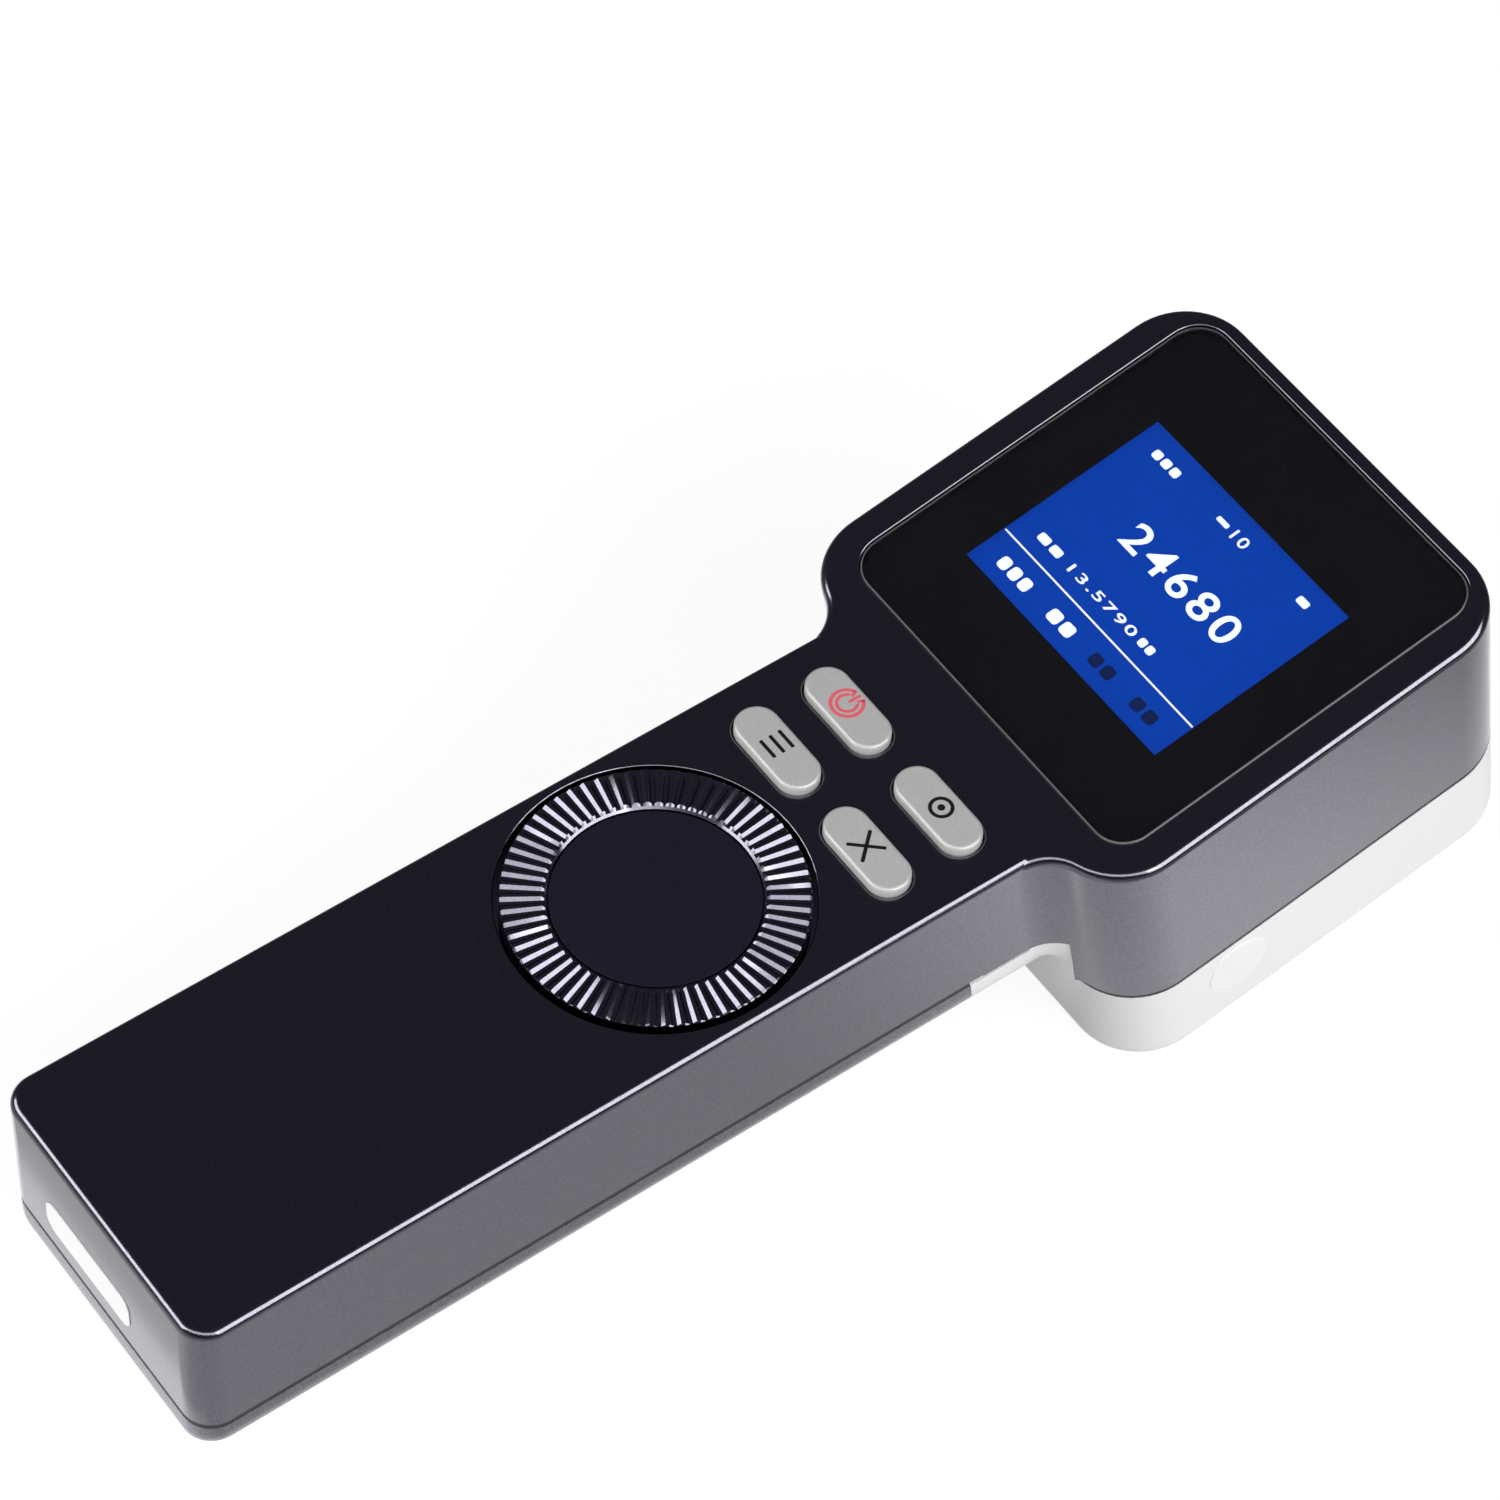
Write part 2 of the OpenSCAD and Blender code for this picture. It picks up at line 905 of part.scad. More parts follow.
// Lenses and diodes are numbered along the rows, from the handle's side
module lens_place(number) {
    column = (number - 1) % 3 - 1;
    row = floor((number - 1) / 3) - 1;
    laid()
        in_lamp()
            translate([column * lens_pitch, row * lens_row_pitch, 0])
                children();
}

module lens(number) {
    cone_height = lens_height - lens_lip;
    color("azure")
        lens_place(number)
            difference() {
                union() {
                    layer(lens_face - lens_lip, lens_face)
                        circle(lens_diameter / 2);
                    translate([0, 0, -lens_face + lens_lip])
                        cylinder(cone_height, lens_diameter / 2, lens_base_radius);
                }
                layer(led_board_face - overlap, led_board_face + lens_cavity_height)
                    circle(lens_cavity_radius);
            }
}

module led(number) {
    color("gold")
        lens_place(number) {
            layer(led_board_face, led_board_face + led_base_height)
                square(led_base, center = true);
            translate([0, 0, -led_board_face - led_base_height])
                difference() {
                    sphere(led_dome_radius);
                    cylinder(2 * led_dome_radius, 2 * led_dome_radius, 2 * led_dome_radius);
                }
        }
}

module led_board() {
    board_corner = 10;
    color("darkgreen")
        laid()
            in_lamp()
                layer(led_board_back, led_board_face) {
                    rounded_plan(2 * led_board_half_width, 2 * led_board_half_length, board_corner);
                    translate([tongue_x, tongue_start - head_middle])
                        square([tongue_width, head_middle - tongue_start]);
                }
}

module heat_sink() {
    color("gray")
        laid()
            in_lamp() {
                layer(sink_top, led_board_back)
                    difference() {
                        rounded_plan(head_width - 2 * sink_play, head_length - 2 * sink_play,
                            head_corner_radius - sink_play);
                        four_corners(head_post_x, head_post_y)
                            circle(sink_screw_radius + slip);
                        translate([tongue_x, -head_length / 2])
                            square([tongue_width, notch_end - head_start]);
                    }
                for (fin = [0 : fin_count - 1])
                    translate([(fin - (fin_count - 1) / 2) * fin_pitch, 0, 0])
                        layer(sink_top - fin_height, sink_top)
                            square([fin_thickness, fin_length], center = true);
            }
}

module heat_sink_screws() {
    color("silver")
        laid()
            in_lamp()
                four_corners(head_post_x, head_post_y) {
                    layer(lug_depth, lug_depth + sink_screw_head_height)
                        circle(sink_screw_head);
                    layer(sink_top - sink_screw_grip, lug_depth)
                        circle(sink_screw_radius);
                }
}

// A wire through points of the plane across x, in the head frame
module wire(path, radius) {
    bend = 0.05;
    last = len(path) - 1;
    for (i = [1 : last]) {
        step = path[i] - path[i - 1];
        translate([0, path[i - 1][0], path[i - 1][1]])
            rotate([atan2(step[1], step[0]) - 90, 0, 0])
                cylinder(norm(step), radius, radius, $fn = 24);
    }
    for (i = [1 : last - 1])
        translate([0, path[i][0], path[i][1]])
            sphere(radius + bend, $fn = 24);
}

module lamp_leads() {
    top_y = neck_distance + 4.2;
    path = [
        to_head([top_y, -board_back]),
        to_head([top_y, -board_back - 2.4]),
        [head_start + 4.6, -board_back - 9],
        [head_start + 7.3, -sink_top + 2],
        [head_start + 7.3, -led_board_back]
    ];
    color("crimson")
        laid()
            in_head()
                for (side = [-1, 1])
                    translate([tongue_x + tongue_width / 2 + side * lead_gap, 0, 0])
                        wire(path, lead_radius);
}

// Display
module display_window() {
    color("#101014")
        laid()
            in_head()
                translate([0, window_middle, 0])
                    layer(window_recess, pocket_depth)
                        rounded_plan(window_width, window_length, window_corner);
}

module lcd_module() {
    color("#103a9a")
        laid()
            in_head()
                translate([0, screen_middle, 0])
                    layer(head_front_wall, head_front_wall + lcd_thickness)
                        square([lcd_width, lcd_length], center = true);
}

module display_ribbon() {
    lcd_back = head_front_wall + lcd_thickness;
    lcd_near = screen_middle - lcd_length / 2;
    under = [
        [lcd_near + 6, -lcd_back - ribbon_thickness],
        [lcd_near + 1.5, -lcd_back - ribbon_thickness],
        to_head([board_end - 0.4, -board_face]),
        to_head([board_end - 4.4, -board_face])
    ];
    over = [for (i = [len(under) - 1 : -1 : 0]) under[i] + [0, ribbon_thickness]];
    color("orange")
        laid()
            in_head()
                rotate([90, 0, 90])
                    linear_extrude(ribbon_width, center = true)
                        polygon(concat(under, over));
}

// Keys
module key_cap(column, row) {
    straight = key_length - key_width;
    color("#bcbcc2")
        laid()
            key_place(column, row) {
                translate([0, 0, key_height - key_bevel])
                    layer(0, key_height - key_bevel + key_flange_top)
                        pill(key_length, key_width);
                layer(key_flange_top, key_flange_bottom)
                    pill(key_length + 2 * key_flange, key_width + 2 * key_flange);
                for (side = [-1, 1])
                    translate([side * straight / 2, 0, key_height - key_bevel])
                        cylinder(key_bevel, key_width / 2, key_width / 2 - key_bevel);
                translate([0, 0, key_height - key_bevel])
                    rotate([90, 0, 90])
                        linear_extrude(straight, center = true)
                            polygon([
                                [-key_width / 2, 0],
                                [key_width / 2, 0],
                                [key_width / 2 - key_bevel, key_bevel],
                                [-key_width / 2 + key_bevel, key_bevel]
                            ]);
            }
}

module power_key() {
    key_cap(-1, 1);
}

module set_key() {
    key_cap(1, 1);
}

module mode_key() {
    key_cap(-1, 0);
}

module cancel_key() {
    key_cap(1, 0);
}

module key_mat() {
    mat_start = key_rows[0] - mat_margin;
    mat_end = key_rows[1] + mat_margin;
    color("dimgray")
        laid()
            layer(mat_top, mat_top + mat_thickness)
                translate([-board_half, mat_start])
                    square([2 * board_half, mat_end - mat_start]);
}

module key_switches() {
    color("black")
        laid()
            key_places() {
                layer(board_face - switch_height, board_face)
                    square(switch_size, center = true);
                layer(mat_top + mat_thickness, board_face - switch_height)
                    circle(switch_stem_radius);
            }
}

// Dial
module at_dial() {
    laid()
        translate([0, dial_place, 0])
            children();
}

module dial_ring() {
    ring_inner = cap_radius + slip;
    ring_bottom = dial_bottom - dial_flange;
    crown_radius = (ring_inner + dial_radius) / 2;
    groove_length = dial_radius - ring_inner + 2 * overlap;
    color("#17171b")
        at_dial()
            difference() {
                rotate_extrude()
                    polygon([
                        [ring_inner, -ring_bottom],
                        [dial_radius, -ring_bottom],
                        [dial_radius, ring_edge],
                        [crown_radius + 1.5, ring_crown],
                        [crown_radius - 1.5, ring_crown],
                        [ring_inner, ring_edge]
                    ]);
                for (i = [0 : rib_count - 1])
                    rotate([0, 0, 360 * i / rib_count])
                        translate([ring_inner - overlap, -rib_groove / 2, ring_crown - rib_groove_depth])
                            cube([groove_length, rib_groove, 2 * rib_groove_depth]);
            }
}

module dial_cap() {
    color("#1c1c22")
        at_dial()
            difference() {
                union() {
                    layer(cap_top, dial_bottom)
                        circle(cap_radius);
                    layer(dial_bottom - dial_flange, dial_bottom)
                        circle(dial_flange_radius);
                }
                layer(shaft_top, dial_bottom + overlap)
                    circle(shaft_radius);
            }
}

module encoder_shaft() {
    color("silver")
        at_dial()
            layer(shaft_top, shaft_bottom)
                circle(shaft_radius);
}

module encoder_body() {
    color("darkslategray")
        at_dial()
            difference() {
                layer(encoder_top, board_face)
                    square(encoder_size, center = true);
                layer(encoder_top - overlap, encoder_bore_end)
                    circle(shaft_radius + shaft_play);
            }
}

// Boards
module main_board() {
    color("green")
        laid()
            layer(board_face, board_back)
                difference() {
                    translate([-board_half, board_start])
                        square([2 * board_half, board_end - board_start]);
                    both_sides()
                        for (place = screw_places)
                            translate([screw_x, place])
                                circle(cover_post_radius + inner_play);
                    both_sides()
                        for (place = board_post_places)
                            translate([board_post_x, place])
                                circle(board_screw_radius + slip);
                }
}

module board_screws() {
    color("silver")
        laid()
            board_screw_places() {
                layer(board_back, board_back + board_screw_head_height)
                    circle(board_screw_head);
                layer(board_back - board_screw_length, board_back)
                    circle(board_screw_radius);
            }
}

// Cells and tray
module battery_cell(side) {
    color("teal")
        laid()
            translate([side * cell_x, cell_start + cell_length, -cell_depth])
                rotate([90, 0, 0])
                    cylinder(cell_length, cell_diameter / 2, cell_diameter / 2);
}

module battery_tray() {
    near = cell_start - slip - tray_wall;
    far = cell_start + cell_length + slip;
    color("ivory")
        laid() {
            layer(cover_floor - tray_floor, cover_floor)
                translate([-tray_half, near])
                    square([2 * tray_half, far + tray_wall - near]);
            for (start = [near, far])
                layer(cover_floor - tray_wall_height, cover_floor)
                    translate([-tray_half, start])
                        square([2 * tray_half, tray_wall]);
        }
}

module battery_leads() {
    tray_end = cell_start + cell_length + slip + tray_wall;
    bend = tray_end + 5;
    path = [
        [bend, -board_back],
        [bend, -battery_lead_depth],
        [tray_end, -battery_lead_depth]
    ];
    color("crimson")
        laid()
            for (side = [-1, 1])
                translate([side * battery_lead_x, 0, 0])
                    wire(path, lead_radius);
}

// Side sockets
module port_socket(number) {
    color("dimgray")
        laid()
            translate([-handle_half + port_recess, port_places[number], -port_depth])
                difference() {
                    translate([0, -port_width / 2, -port_height / 2])
                        cube([port_length, port_width, port_height]);
                    translate([-overlap, -port_mouth_width / 2, -port_mouth_height / 2])
                        cube([port_mouth_depth + overlap, port_mouth_width, port_mouth_height]);
                }
}

module charge_socket() {
    port_socket(0);
}

module trigger_in_socket() {
    port_socket(1);
}

module trigger_out_socket() {
    port_socket(2);
}

module port_board() {
    middle = (port_board_start + port_board_end) / 2;
    header_x = -port_board_outer + port_board_width - header_width;
    color("green")
        laid() {
            layer(port_board_top, port_board_top + port_board_thickness)
                translate([-port_board_outer, port_board_start])
                    square([port_board_width, port_board_end - port_board_start]);
            layer(board_back, port_board_top)
                translate([header_x, middle - header_length / 2])
                    square([header_width, header_length]);
        }
}

// Labels
module head_label() {
    color("white")
        laid()
            in_head()
                translate([head_half, head_start, -head_front_depth])
                    translate([0, head_label_place[0], -head_label_place[1]])
                        rotate([90, 0, 90])
                            linear_extrude(label_thickness)
                                circle(head_label_diameter / 2);
}

module end_label() {
    color("white")
        laid()
            translate([end_label_place[0], 0, -end_label_place[1]])
                rotate([90, 0, 0])
                    linear_extrude(label_thickness)
                        rounded_plan(end_label_size[0], end_label_size[1], end_label_corner);
}

front_shell();
rear_cover();
cover_screws();
lamp_housing();
lamp_bezel();
lamp_plate();
for (i = [1 : 9])
    lens(i);
for (i = [1 : 9])
    led(i);
led_board();
heat_sink();
heat_sink_screws();
lamp_leads();
display_window();
lcd_module();
display_ribbon();
power_key();
set_key();
mode_key();
cancel_key();
key_mat();
key_switches();
dial_ring();
dial_cap();
encoder_shaft();
encoder_body();
main_board();
board_screws();
battery_cell(-1);  // battery_cell_1
battery_cell(1);  // battery_cell_2
battery_tray();
battery_leads();
charge_socket();
trigger_in_socket();
trigger_out_socket();
port_board();
head_label();
end_label();
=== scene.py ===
# %% [markdown]
# # A handheld lamp-and-display instrument, dressed in Blender
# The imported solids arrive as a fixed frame. Pieces that need finer forms than the solids
# have are modelled here by hand, and every piece gets a procedural finish.

# %% Load the frame
import json
import math

import bmesh
import bpy
from mathutils import Matrix, Vector


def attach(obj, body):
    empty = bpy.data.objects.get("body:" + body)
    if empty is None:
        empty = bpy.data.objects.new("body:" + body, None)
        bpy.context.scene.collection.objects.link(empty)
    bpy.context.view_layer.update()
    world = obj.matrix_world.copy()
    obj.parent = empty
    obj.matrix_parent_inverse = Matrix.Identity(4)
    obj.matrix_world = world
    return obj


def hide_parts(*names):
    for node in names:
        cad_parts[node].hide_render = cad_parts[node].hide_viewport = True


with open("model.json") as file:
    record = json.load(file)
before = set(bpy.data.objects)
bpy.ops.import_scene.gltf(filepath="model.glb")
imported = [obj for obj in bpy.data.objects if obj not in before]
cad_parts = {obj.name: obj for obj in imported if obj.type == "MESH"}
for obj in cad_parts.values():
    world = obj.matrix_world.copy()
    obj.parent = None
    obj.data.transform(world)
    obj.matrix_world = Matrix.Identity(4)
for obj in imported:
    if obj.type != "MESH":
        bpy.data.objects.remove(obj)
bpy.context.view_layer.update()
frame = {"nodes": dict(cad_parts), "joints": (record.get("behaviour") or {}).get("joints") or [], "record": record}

# %% [markdown]
# ## Two working frames
# The real instrument has a straight handle and a head that tilts up from a crease. Drawing in
# world coordinates would need awkward numbers, so pieces are drawn in the handle's frame (its
# front face is z = 0) or the head's frame, and then laid down. The dial's joint gives the
# handle's lean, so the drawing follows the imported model.

# %% Handle frame and head frame, in millimetres
NECK = 154.8
HEAD_TILT = math.radians(10.7)
DIAL_PLACE = 102.2
METRES = 0.001
joints = {joint["name"]: joint for joint in frame["joints"]}
dial_joint = joints["dial_turn"]
lean = math.asin(-dial_joint["axis"][1])
turn_down = Matrix.Rotation(lean, 4, "X")
crease_origin = Vector(dial_joint["pos_m"]) - turn_down @ Vector((0, DIAL_PLACE * METRES, 0))
HANDLE = Matrix.Translation(crease_origin) @ turn_down @ Matrix.Scale(METRES, 4)
TILT = Matrix.Translation((0, NECK, 0)) @ Matrix.Rotation(HEAD_TILT, 4, "X")
HEAD = HANDLE @ TILT
print("handle leans", round(math.degrees(lean), 3), "degrees")

# %% [markdown]
# ## Camera
# The product photograph was taken from above the display side with a long lens. A camera is
# placed in the handle's frame by its three axes, because its place was worked out there from
# the known sizes of the handle and head.

# %% Camera
camera_right = Vector((0.5875, 0.8084, 0.0375))
camera_up = Vector((-0.6631, 0.4543, 0.5949))
camera_back = Vector((0.46385, -0.37437, 0.80293))
camera_place = HANDLE @ Vector((402.40, -205.66, 721.95))
camera_axes = Matrix((camera_right, camera_up, camera_back)).transposed().to_4x4()
camera_data = bpy.data.cameras.new("product_camera")
camera_data.lens = 136.58
camera_data.sensor_width = 36
camera_data.clip_end = 20
camera = bpy.data.objects.new("product_camera", camera_data)
bpy.context.scene.collection.objects.link(camera)
camera.matrix_world = Matrix.Translation(camera_place) @ turn_down @ camera_axes
bpy.context.scene.camera = camera
bpy.context.scene.view_settings.view_transform = "Standard"
print("camera stands at", [round(v, 3) for v in camera.matrix_world.translation])

# %% [markdown]
# ## Helpers for modelling by hand
# Operators act on what is selected, so a few helpers clear the selection, pick corners, edges or
# faces by their place, and lay a finished piece down in the world with its place in its mesh.


# %% Helpers for selecting, cutting and moving
def clear_selection():
    if bpy.context.object and bpy.context.object.mode != "OBJECT":
        bpy.ops.object.mode_set(mode="OBJECT")
    bpy.ops.object.select_all(action="DESELECT")


def work_on(piece):
    clear_selection()
    piece.select_set(True)
    bpy.context.view_layer.objects.active = piece


def pick(piece, kind, wanted=lambda part: True):
    """Go to edit mode and select the corners, edges or faces that pass a test, or all of them."""
    work_on(piece)
    bpy.ops.object.mode_set(mode="EDIT")
    bpy.ops.mesh.select_mode(type=kind)
    bpy.ops.mesh.select_all(action="DESELECT")
    mesh = bmesh.from_edit_mesh(piece.data)
    mesh.normal_update()
    count = 0
    for part in {"VERT": mesh.verts, "EDGE": mesh.edges, "FACE": mesh.faces}[kind]:
        if wanted(part):
            part.select_set(True)
            count += 1
    bmesh.update_edit_mesh(piece.data)
    return count


def both_ends(edge, test):
    return all(test(corner.co) for corner in edge.verts)


def done_editing():
    bpy.ops.object.mode_set(mode="OBJECT")


def bevel_edges(piece, wanted, width, steps, profile=0.5):
    count = pick(piece, "EDGE", wanted)
    bpy.ops.mesh.bevel(offset=width, segments=steps, profile=profile, affect="EDGES")
    done_editing()
    return count


def extrude_by(x, y, z):
    bpy.ops.mesh.extrude_region_move(TRANSFORM_OT_translate={"value": (x, y, z)})


def split_level(piece, height):
    """Cut all walls of a piece at one height, and take nothing away."""
    pick(piece, "FACE")
    bpy.ops.mesh.bisect(plane_co=(0, 0, height), plane_no=(0, 0, 1))
    done_editing()


def flare_walls(piece, wanted, distance):
    """Draw out the upright walls whose middle height passes a test."""
    pick(piece, "FACE", lambda face: abs(face.normal.z) < 0.1 and wanted(face.calc_center_median().z))
    bpy.ops.mesh.extrude_region_shrink_fatten(
        TRANSFORM_OT_shrink_fatten={"value": distance, "use_even_offset": True})
    done_editing()


def shift(x, y, z=0):
    return Matrix.Translation((x, y, z))


# %% Starting forms
def add_block(name, low, high):
    """A cube between two corners."""
    clear_selection()
    low, high = Vector(low), Vector(high)
    bpy.ops.mesh.primitive_cube_add(size=1, location=(low + high) / 2, scale=high - low)
    piece = bpy.context.object
    piece.name = name
    bpy.ops.object.transform_apply()
    return piece


def add_chain(name, points):
    """Merge a plane to one vertex and extrude it from point to point; leave it in edit mode."""
    clear_selection()
    bpy.ops.mesh.primitive_plane_add(size=1, location=(0, 0, 0))
    piece = bpy.context.object
    piece.name = name
    bpy.ops.object.mode_set(mode="EDIT")
    bpy.ops.mesh.select_mode(type="VERT")
    bpy.ops.mesh.select_all(action="SELECT")
    bpy.ops.mesh.merge(type="CENTER")
    here = Vector((0, 0, 0))
    for number, point in enumerate(points):
        there = Vector(point)
        if number == 0:
            bpy.ops.transform.translate(value=there - here)
        else:
            bpy.ops.mesh.extrude_vertices_move(TRANSFORM_OT_translate={"value": there - here})
        here = there
    bpy.ops.mesh.select_all(action="SELECT")
    return piece


def add_lathe(name, profile, steps):
    """Draw a profile of (radius, height) points, then spin it about z."""
    piece = add_chain(name, [(radius, 0, height) for radius, height in profile])
    bpy.ops.mesh.spin(steps=steps, angle=2 * math.pi, center=(0, 0, 0), axis=(0, 0, 1))
    bpy.ops.mesh.select_all(action="SELECT")
    bpy.ops.mesh.remove_doubles(threshold=1e-4)
    bpy.ops.mesh.normals_make_consistent(inside=False)
    done_editing()
    return piece


def add_prism(name, outline, top, bottom):
    """Draw a closed outline of (x, y) points, fill it and draw it down."""
    piece = add_chain(name, [(x, y, top) for x, y in outline])
    bpy.ops.mesh.edge_face_add()
    extrude_by(0, 0, bottom - top)
    bpy.ops.mesh.select_all(action="SELECT")
    bpy.ops.mesh.normals_make_consistent(inside=False)
    done_editing()
    return piece


def arc(x, y, radius, start, end, steps):
    """Points of an arc about a middle, from one angle to another."""
    angles = [start + (end - start) * step / steps for step in range(steps + 1)]
    return [(x + radius * math.cos(angle), y + radius * math.sin(angle)) for angle in angles]


# %% Finishing helpers
def smooth(piece, degrees=35):
    work_on(piece)
    bpy.ops.object.shade_smooth_by_angle(angle=math.radians(degrees))


def lay_down(piece, place):
    """Move a drawn piece into the world and put its place into its mesh."""
    work_on(piece)
    piece.matrix_world = place @ piece.matrix_world
    bpy.ops.object.transform_apply()


def copy_of(piece, name):
    twin = piece.copy()
    twin.data = piece.data.copy()
    twin.name = name
    bpy.context.scene.collection.objects.link(twin)
    return twin


def join(pieces, name):
    clear_selection()
    for piece in pieces:
        piece.select_set(True)
    bpy.context.view_layer.objects.active = pieces[0]
    bpy.ops.object.join()
    pieces[0].name = name
    return pieces[0]


def cut_with(piece, tools, operation="DIFFERENCE"):
    for tool in tools:
        work_on(piece)
        modifier = piece.modifiers.new("cut", "BOOLEAN")
        modifier.operation = operation
        modifier.solver = "EXACT"
        modifier.object = tool
        bpy.ops.object.modifier_apply(modifier=modifier.name)
        bpy.data.objects.remove(tool, do_unlink=True)


def dress(piece, place, name, body, slot, finish, *nodes):
    """Lay a piece down in its place, and give it its name, finish and body; the slot is not used."""
    lay_down(piece, place)
    piece.name = name
    piece.data.name = name
    piece.data.materials.clear()
    piece.data.materials.append(finish)
    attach(piece, body)
    if nodes:
        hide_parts(*nodes)
    print(name, len(piece.data.polygons), "faces")
    return piece


# %% [markdown]
# ## Shared surface effects
# Lacquer, plastic and metal all share a few effects: a fine grain, flakes that sparkle, and soft
# marks from handling. Each is one node group, so that a finish only sets its own values.


# %% A pattern on Object coordinates, mapped to the span between a low and a high value
def set_inputs(node, values):
    for label, value in values.items():
        node.inputs[label].default_value = value


def make_group(name, kind, settings, stretch=(1, 1, 1)):
    group = bpy.data.node_groups.new(name, "ShaderNodeTree")
    for label in ("Scale", "Low", "High"):
        group.interface.new_socket(label, in_out="INPUT", socket_type="NodeSocketFloat")
    for label in ("Tone", "Height"):
        group.interface.new_socket(label, in_out="OUTPUT", socket_type="NodeSocketFloat")
    nodes, link = group.nodes, group.links.new
    group_in = nodes.new("NodeGroupInput")
    group_out = nodes.new("NodeGroupOutput")
    place = nodes.new("ShaderNodeTexCoord")
    draw_out = nodes.new("ShaderNodeMapping")
    set_inputs(draw_out, {"Scale": stretch})
    link(place.outputs["Object"], draw_out.inputs["Vector"])
    pattern = nodes.new(kind)
    set_inputs(pattern, settings)
    link(draw_out.outputs["Vector"], pattern.inputs["Vector"])
    link(group_in.outputs["Scale"], pattern.inputs["Scale"])
    if kind == "ShaderNodeTexVoronoi":
        split = nodes.new("ShaderNodeSeparateColor")
        link(pattern.outputs["Color"], split.inputs["Color"])
        level = split.outputs["Red"]
    else:
        level = pattern.outputs["Fac"]
    link(level, group_out.inputs["Height"])
    span = nodes.new("ShaderNodeMapRange")
    link(level, span.inputs["Value"])
    link(group_in.outputs["Low"], span.inputs["To Min"])
    link(group_in.outputs["High"], span.inputs["To Max"])
    link(span.outputs["Result"], group_out.inputs["Tone"])
    return group


# %% Moulded grain, flakes that are each lighter or darker, handling marks, and lines brushed along x
grain = make_group("moulded_grain", "ShaderNodeTexNoise", {"Detail": 3})
flake = make_group("metal_flake", "ShaderNodeTexVoronoi", {})
marks = make_group("handling_marks", "ShaderNodeTexNoise", {"Detail": 5, "Distortion": 0.6})
brushed = make_group("brushed_lines", "ShaderNodeTexNoise", {"Detail": 4}, stretch=(0.03, 1, 1))
print("node groups", [group.name for group in bpy.data.node_groups])

# %% [markdown]
# ## Finishes
# A finish is a base colour whose tone changes with the grain or the flakes, a gloss that changes
# with handling, and a slight bump. One function builds them all from a few values, and the finishes
# that need more get it added afterwards.

# %% One function for every finish
MARKS_SCALE = 45.0
BUMP_HEIGHT = 0.05 * METRES


def place_group(tree, group, scale, span):
    node = tree.nodes.new("ShaderNodeGroup")
    node.node_tree = group
    set_inputs(node, {"Scale": scale, "Low": span[0], "High": span[1]})
    return node


def make_finish(name, colour, metallic=0.0, gloss=(0.35, 0.45), pattern=grain, scale=1800.0,
                tone=(0.92, 1.08), bump=0.0, coat=0.0, coat_roughness=0.08, shine=0.5):
    finish = bpy.data.materials.new(name)
    finish.use_nodes = True
    tree = finish.node_tree
    shader = tree.nodes["Principled BSDF"]
    set_inputs(shader, {"Metallic": metallic, "Specular IOR Level": shine, "Coat Weight": coat,
                        "Coat Roughness": coat_roughness})
    texture = place_group(tree, pattern, scale, tone)
    tint = tree.nodes.new("ShaderNodeMix")
    tint.data_type = "RGBA"
    tint.blend_type = "MULTIPLY"
    set_inputs(tint, {"Factor": 1.0, "A": (*colour, 1)})
    tree.links.new(texture.outputs["Tone"], tint.inputs["B"])
    tree.links.new(tint.outputs["Result"], shader.inputs["Base Color"])
    wear = place_group(tree, marks, MARKS_SCALE, gloss)
    tree.links.new(wear.outputs["Tone"], shader.inputs["Roughness"])
    if bump:
        relief = tree.nodes.new("ShaderNodeBump")
        set_inputs(relief, {"Strength": bump, "Distance": BUMP_HEIGHT})
        tree.links.new(texture.outputs["Height"], relief.inputs["Height"])
        tree.links.new(relief.outputs["Normal"], shader.inputs["Normal"])
    return finish


def make_lacquer(name, colour, gloss, coat, coat_roughness, tone=(0.85, 1.15), scale=5200,
                 metallic=1.0):
    """A metal-flake lacquer under a clear coat."""
    return make_finish(name, colour, metallic, gloss, flake, scale, tone, coat=coat,
                       coat_roughness=coat_roughness)


# %% Finishes of the casing
dark_lacquer = make_lacquer("dark_lacquer", (0.20, 0.19, 0.225), (0.13, 0.18), 0.3, 0.04,
                            tone=(0.84, 1.16))
cover_lacquer = make_lacquer("cover_lacquer", (0.20, 0.195, 0.23), (0.24, 0.3), 0.3, 0.1,
                             tone=(0.7, 1.3), scale=3600, metallic=0.95)
pearl_white = make_finish("pearl_white", (0.86, 0.865, 0.86), gloss=(0.3, 0.36), scale=2600,
                          tone=(0.985, 1.01), bump=0.05, coat=0.15)
brushed_plate = make_finish("brushed_plate", (0.58, 0.58, 0.57), metallic=0.9, gloss=(0.34, 0.42),
                            pattern=brushed, scale=2600, tone=(0.86, 1.1), bump=0.15)
label_sheet = make_finish("label_sheet", (0.92, 0.92, 0.91), gloss=(0.35, 0.45), scale=1500,
                          tone=(0.97, 1.0))
screw_nickel = make_finish("screw_nickel", (0.62, 0.60, 0.55), metallic=1.0, gloss=(0.22, 0.32),
                           scale=2500, tone=(0.85, 1.08))

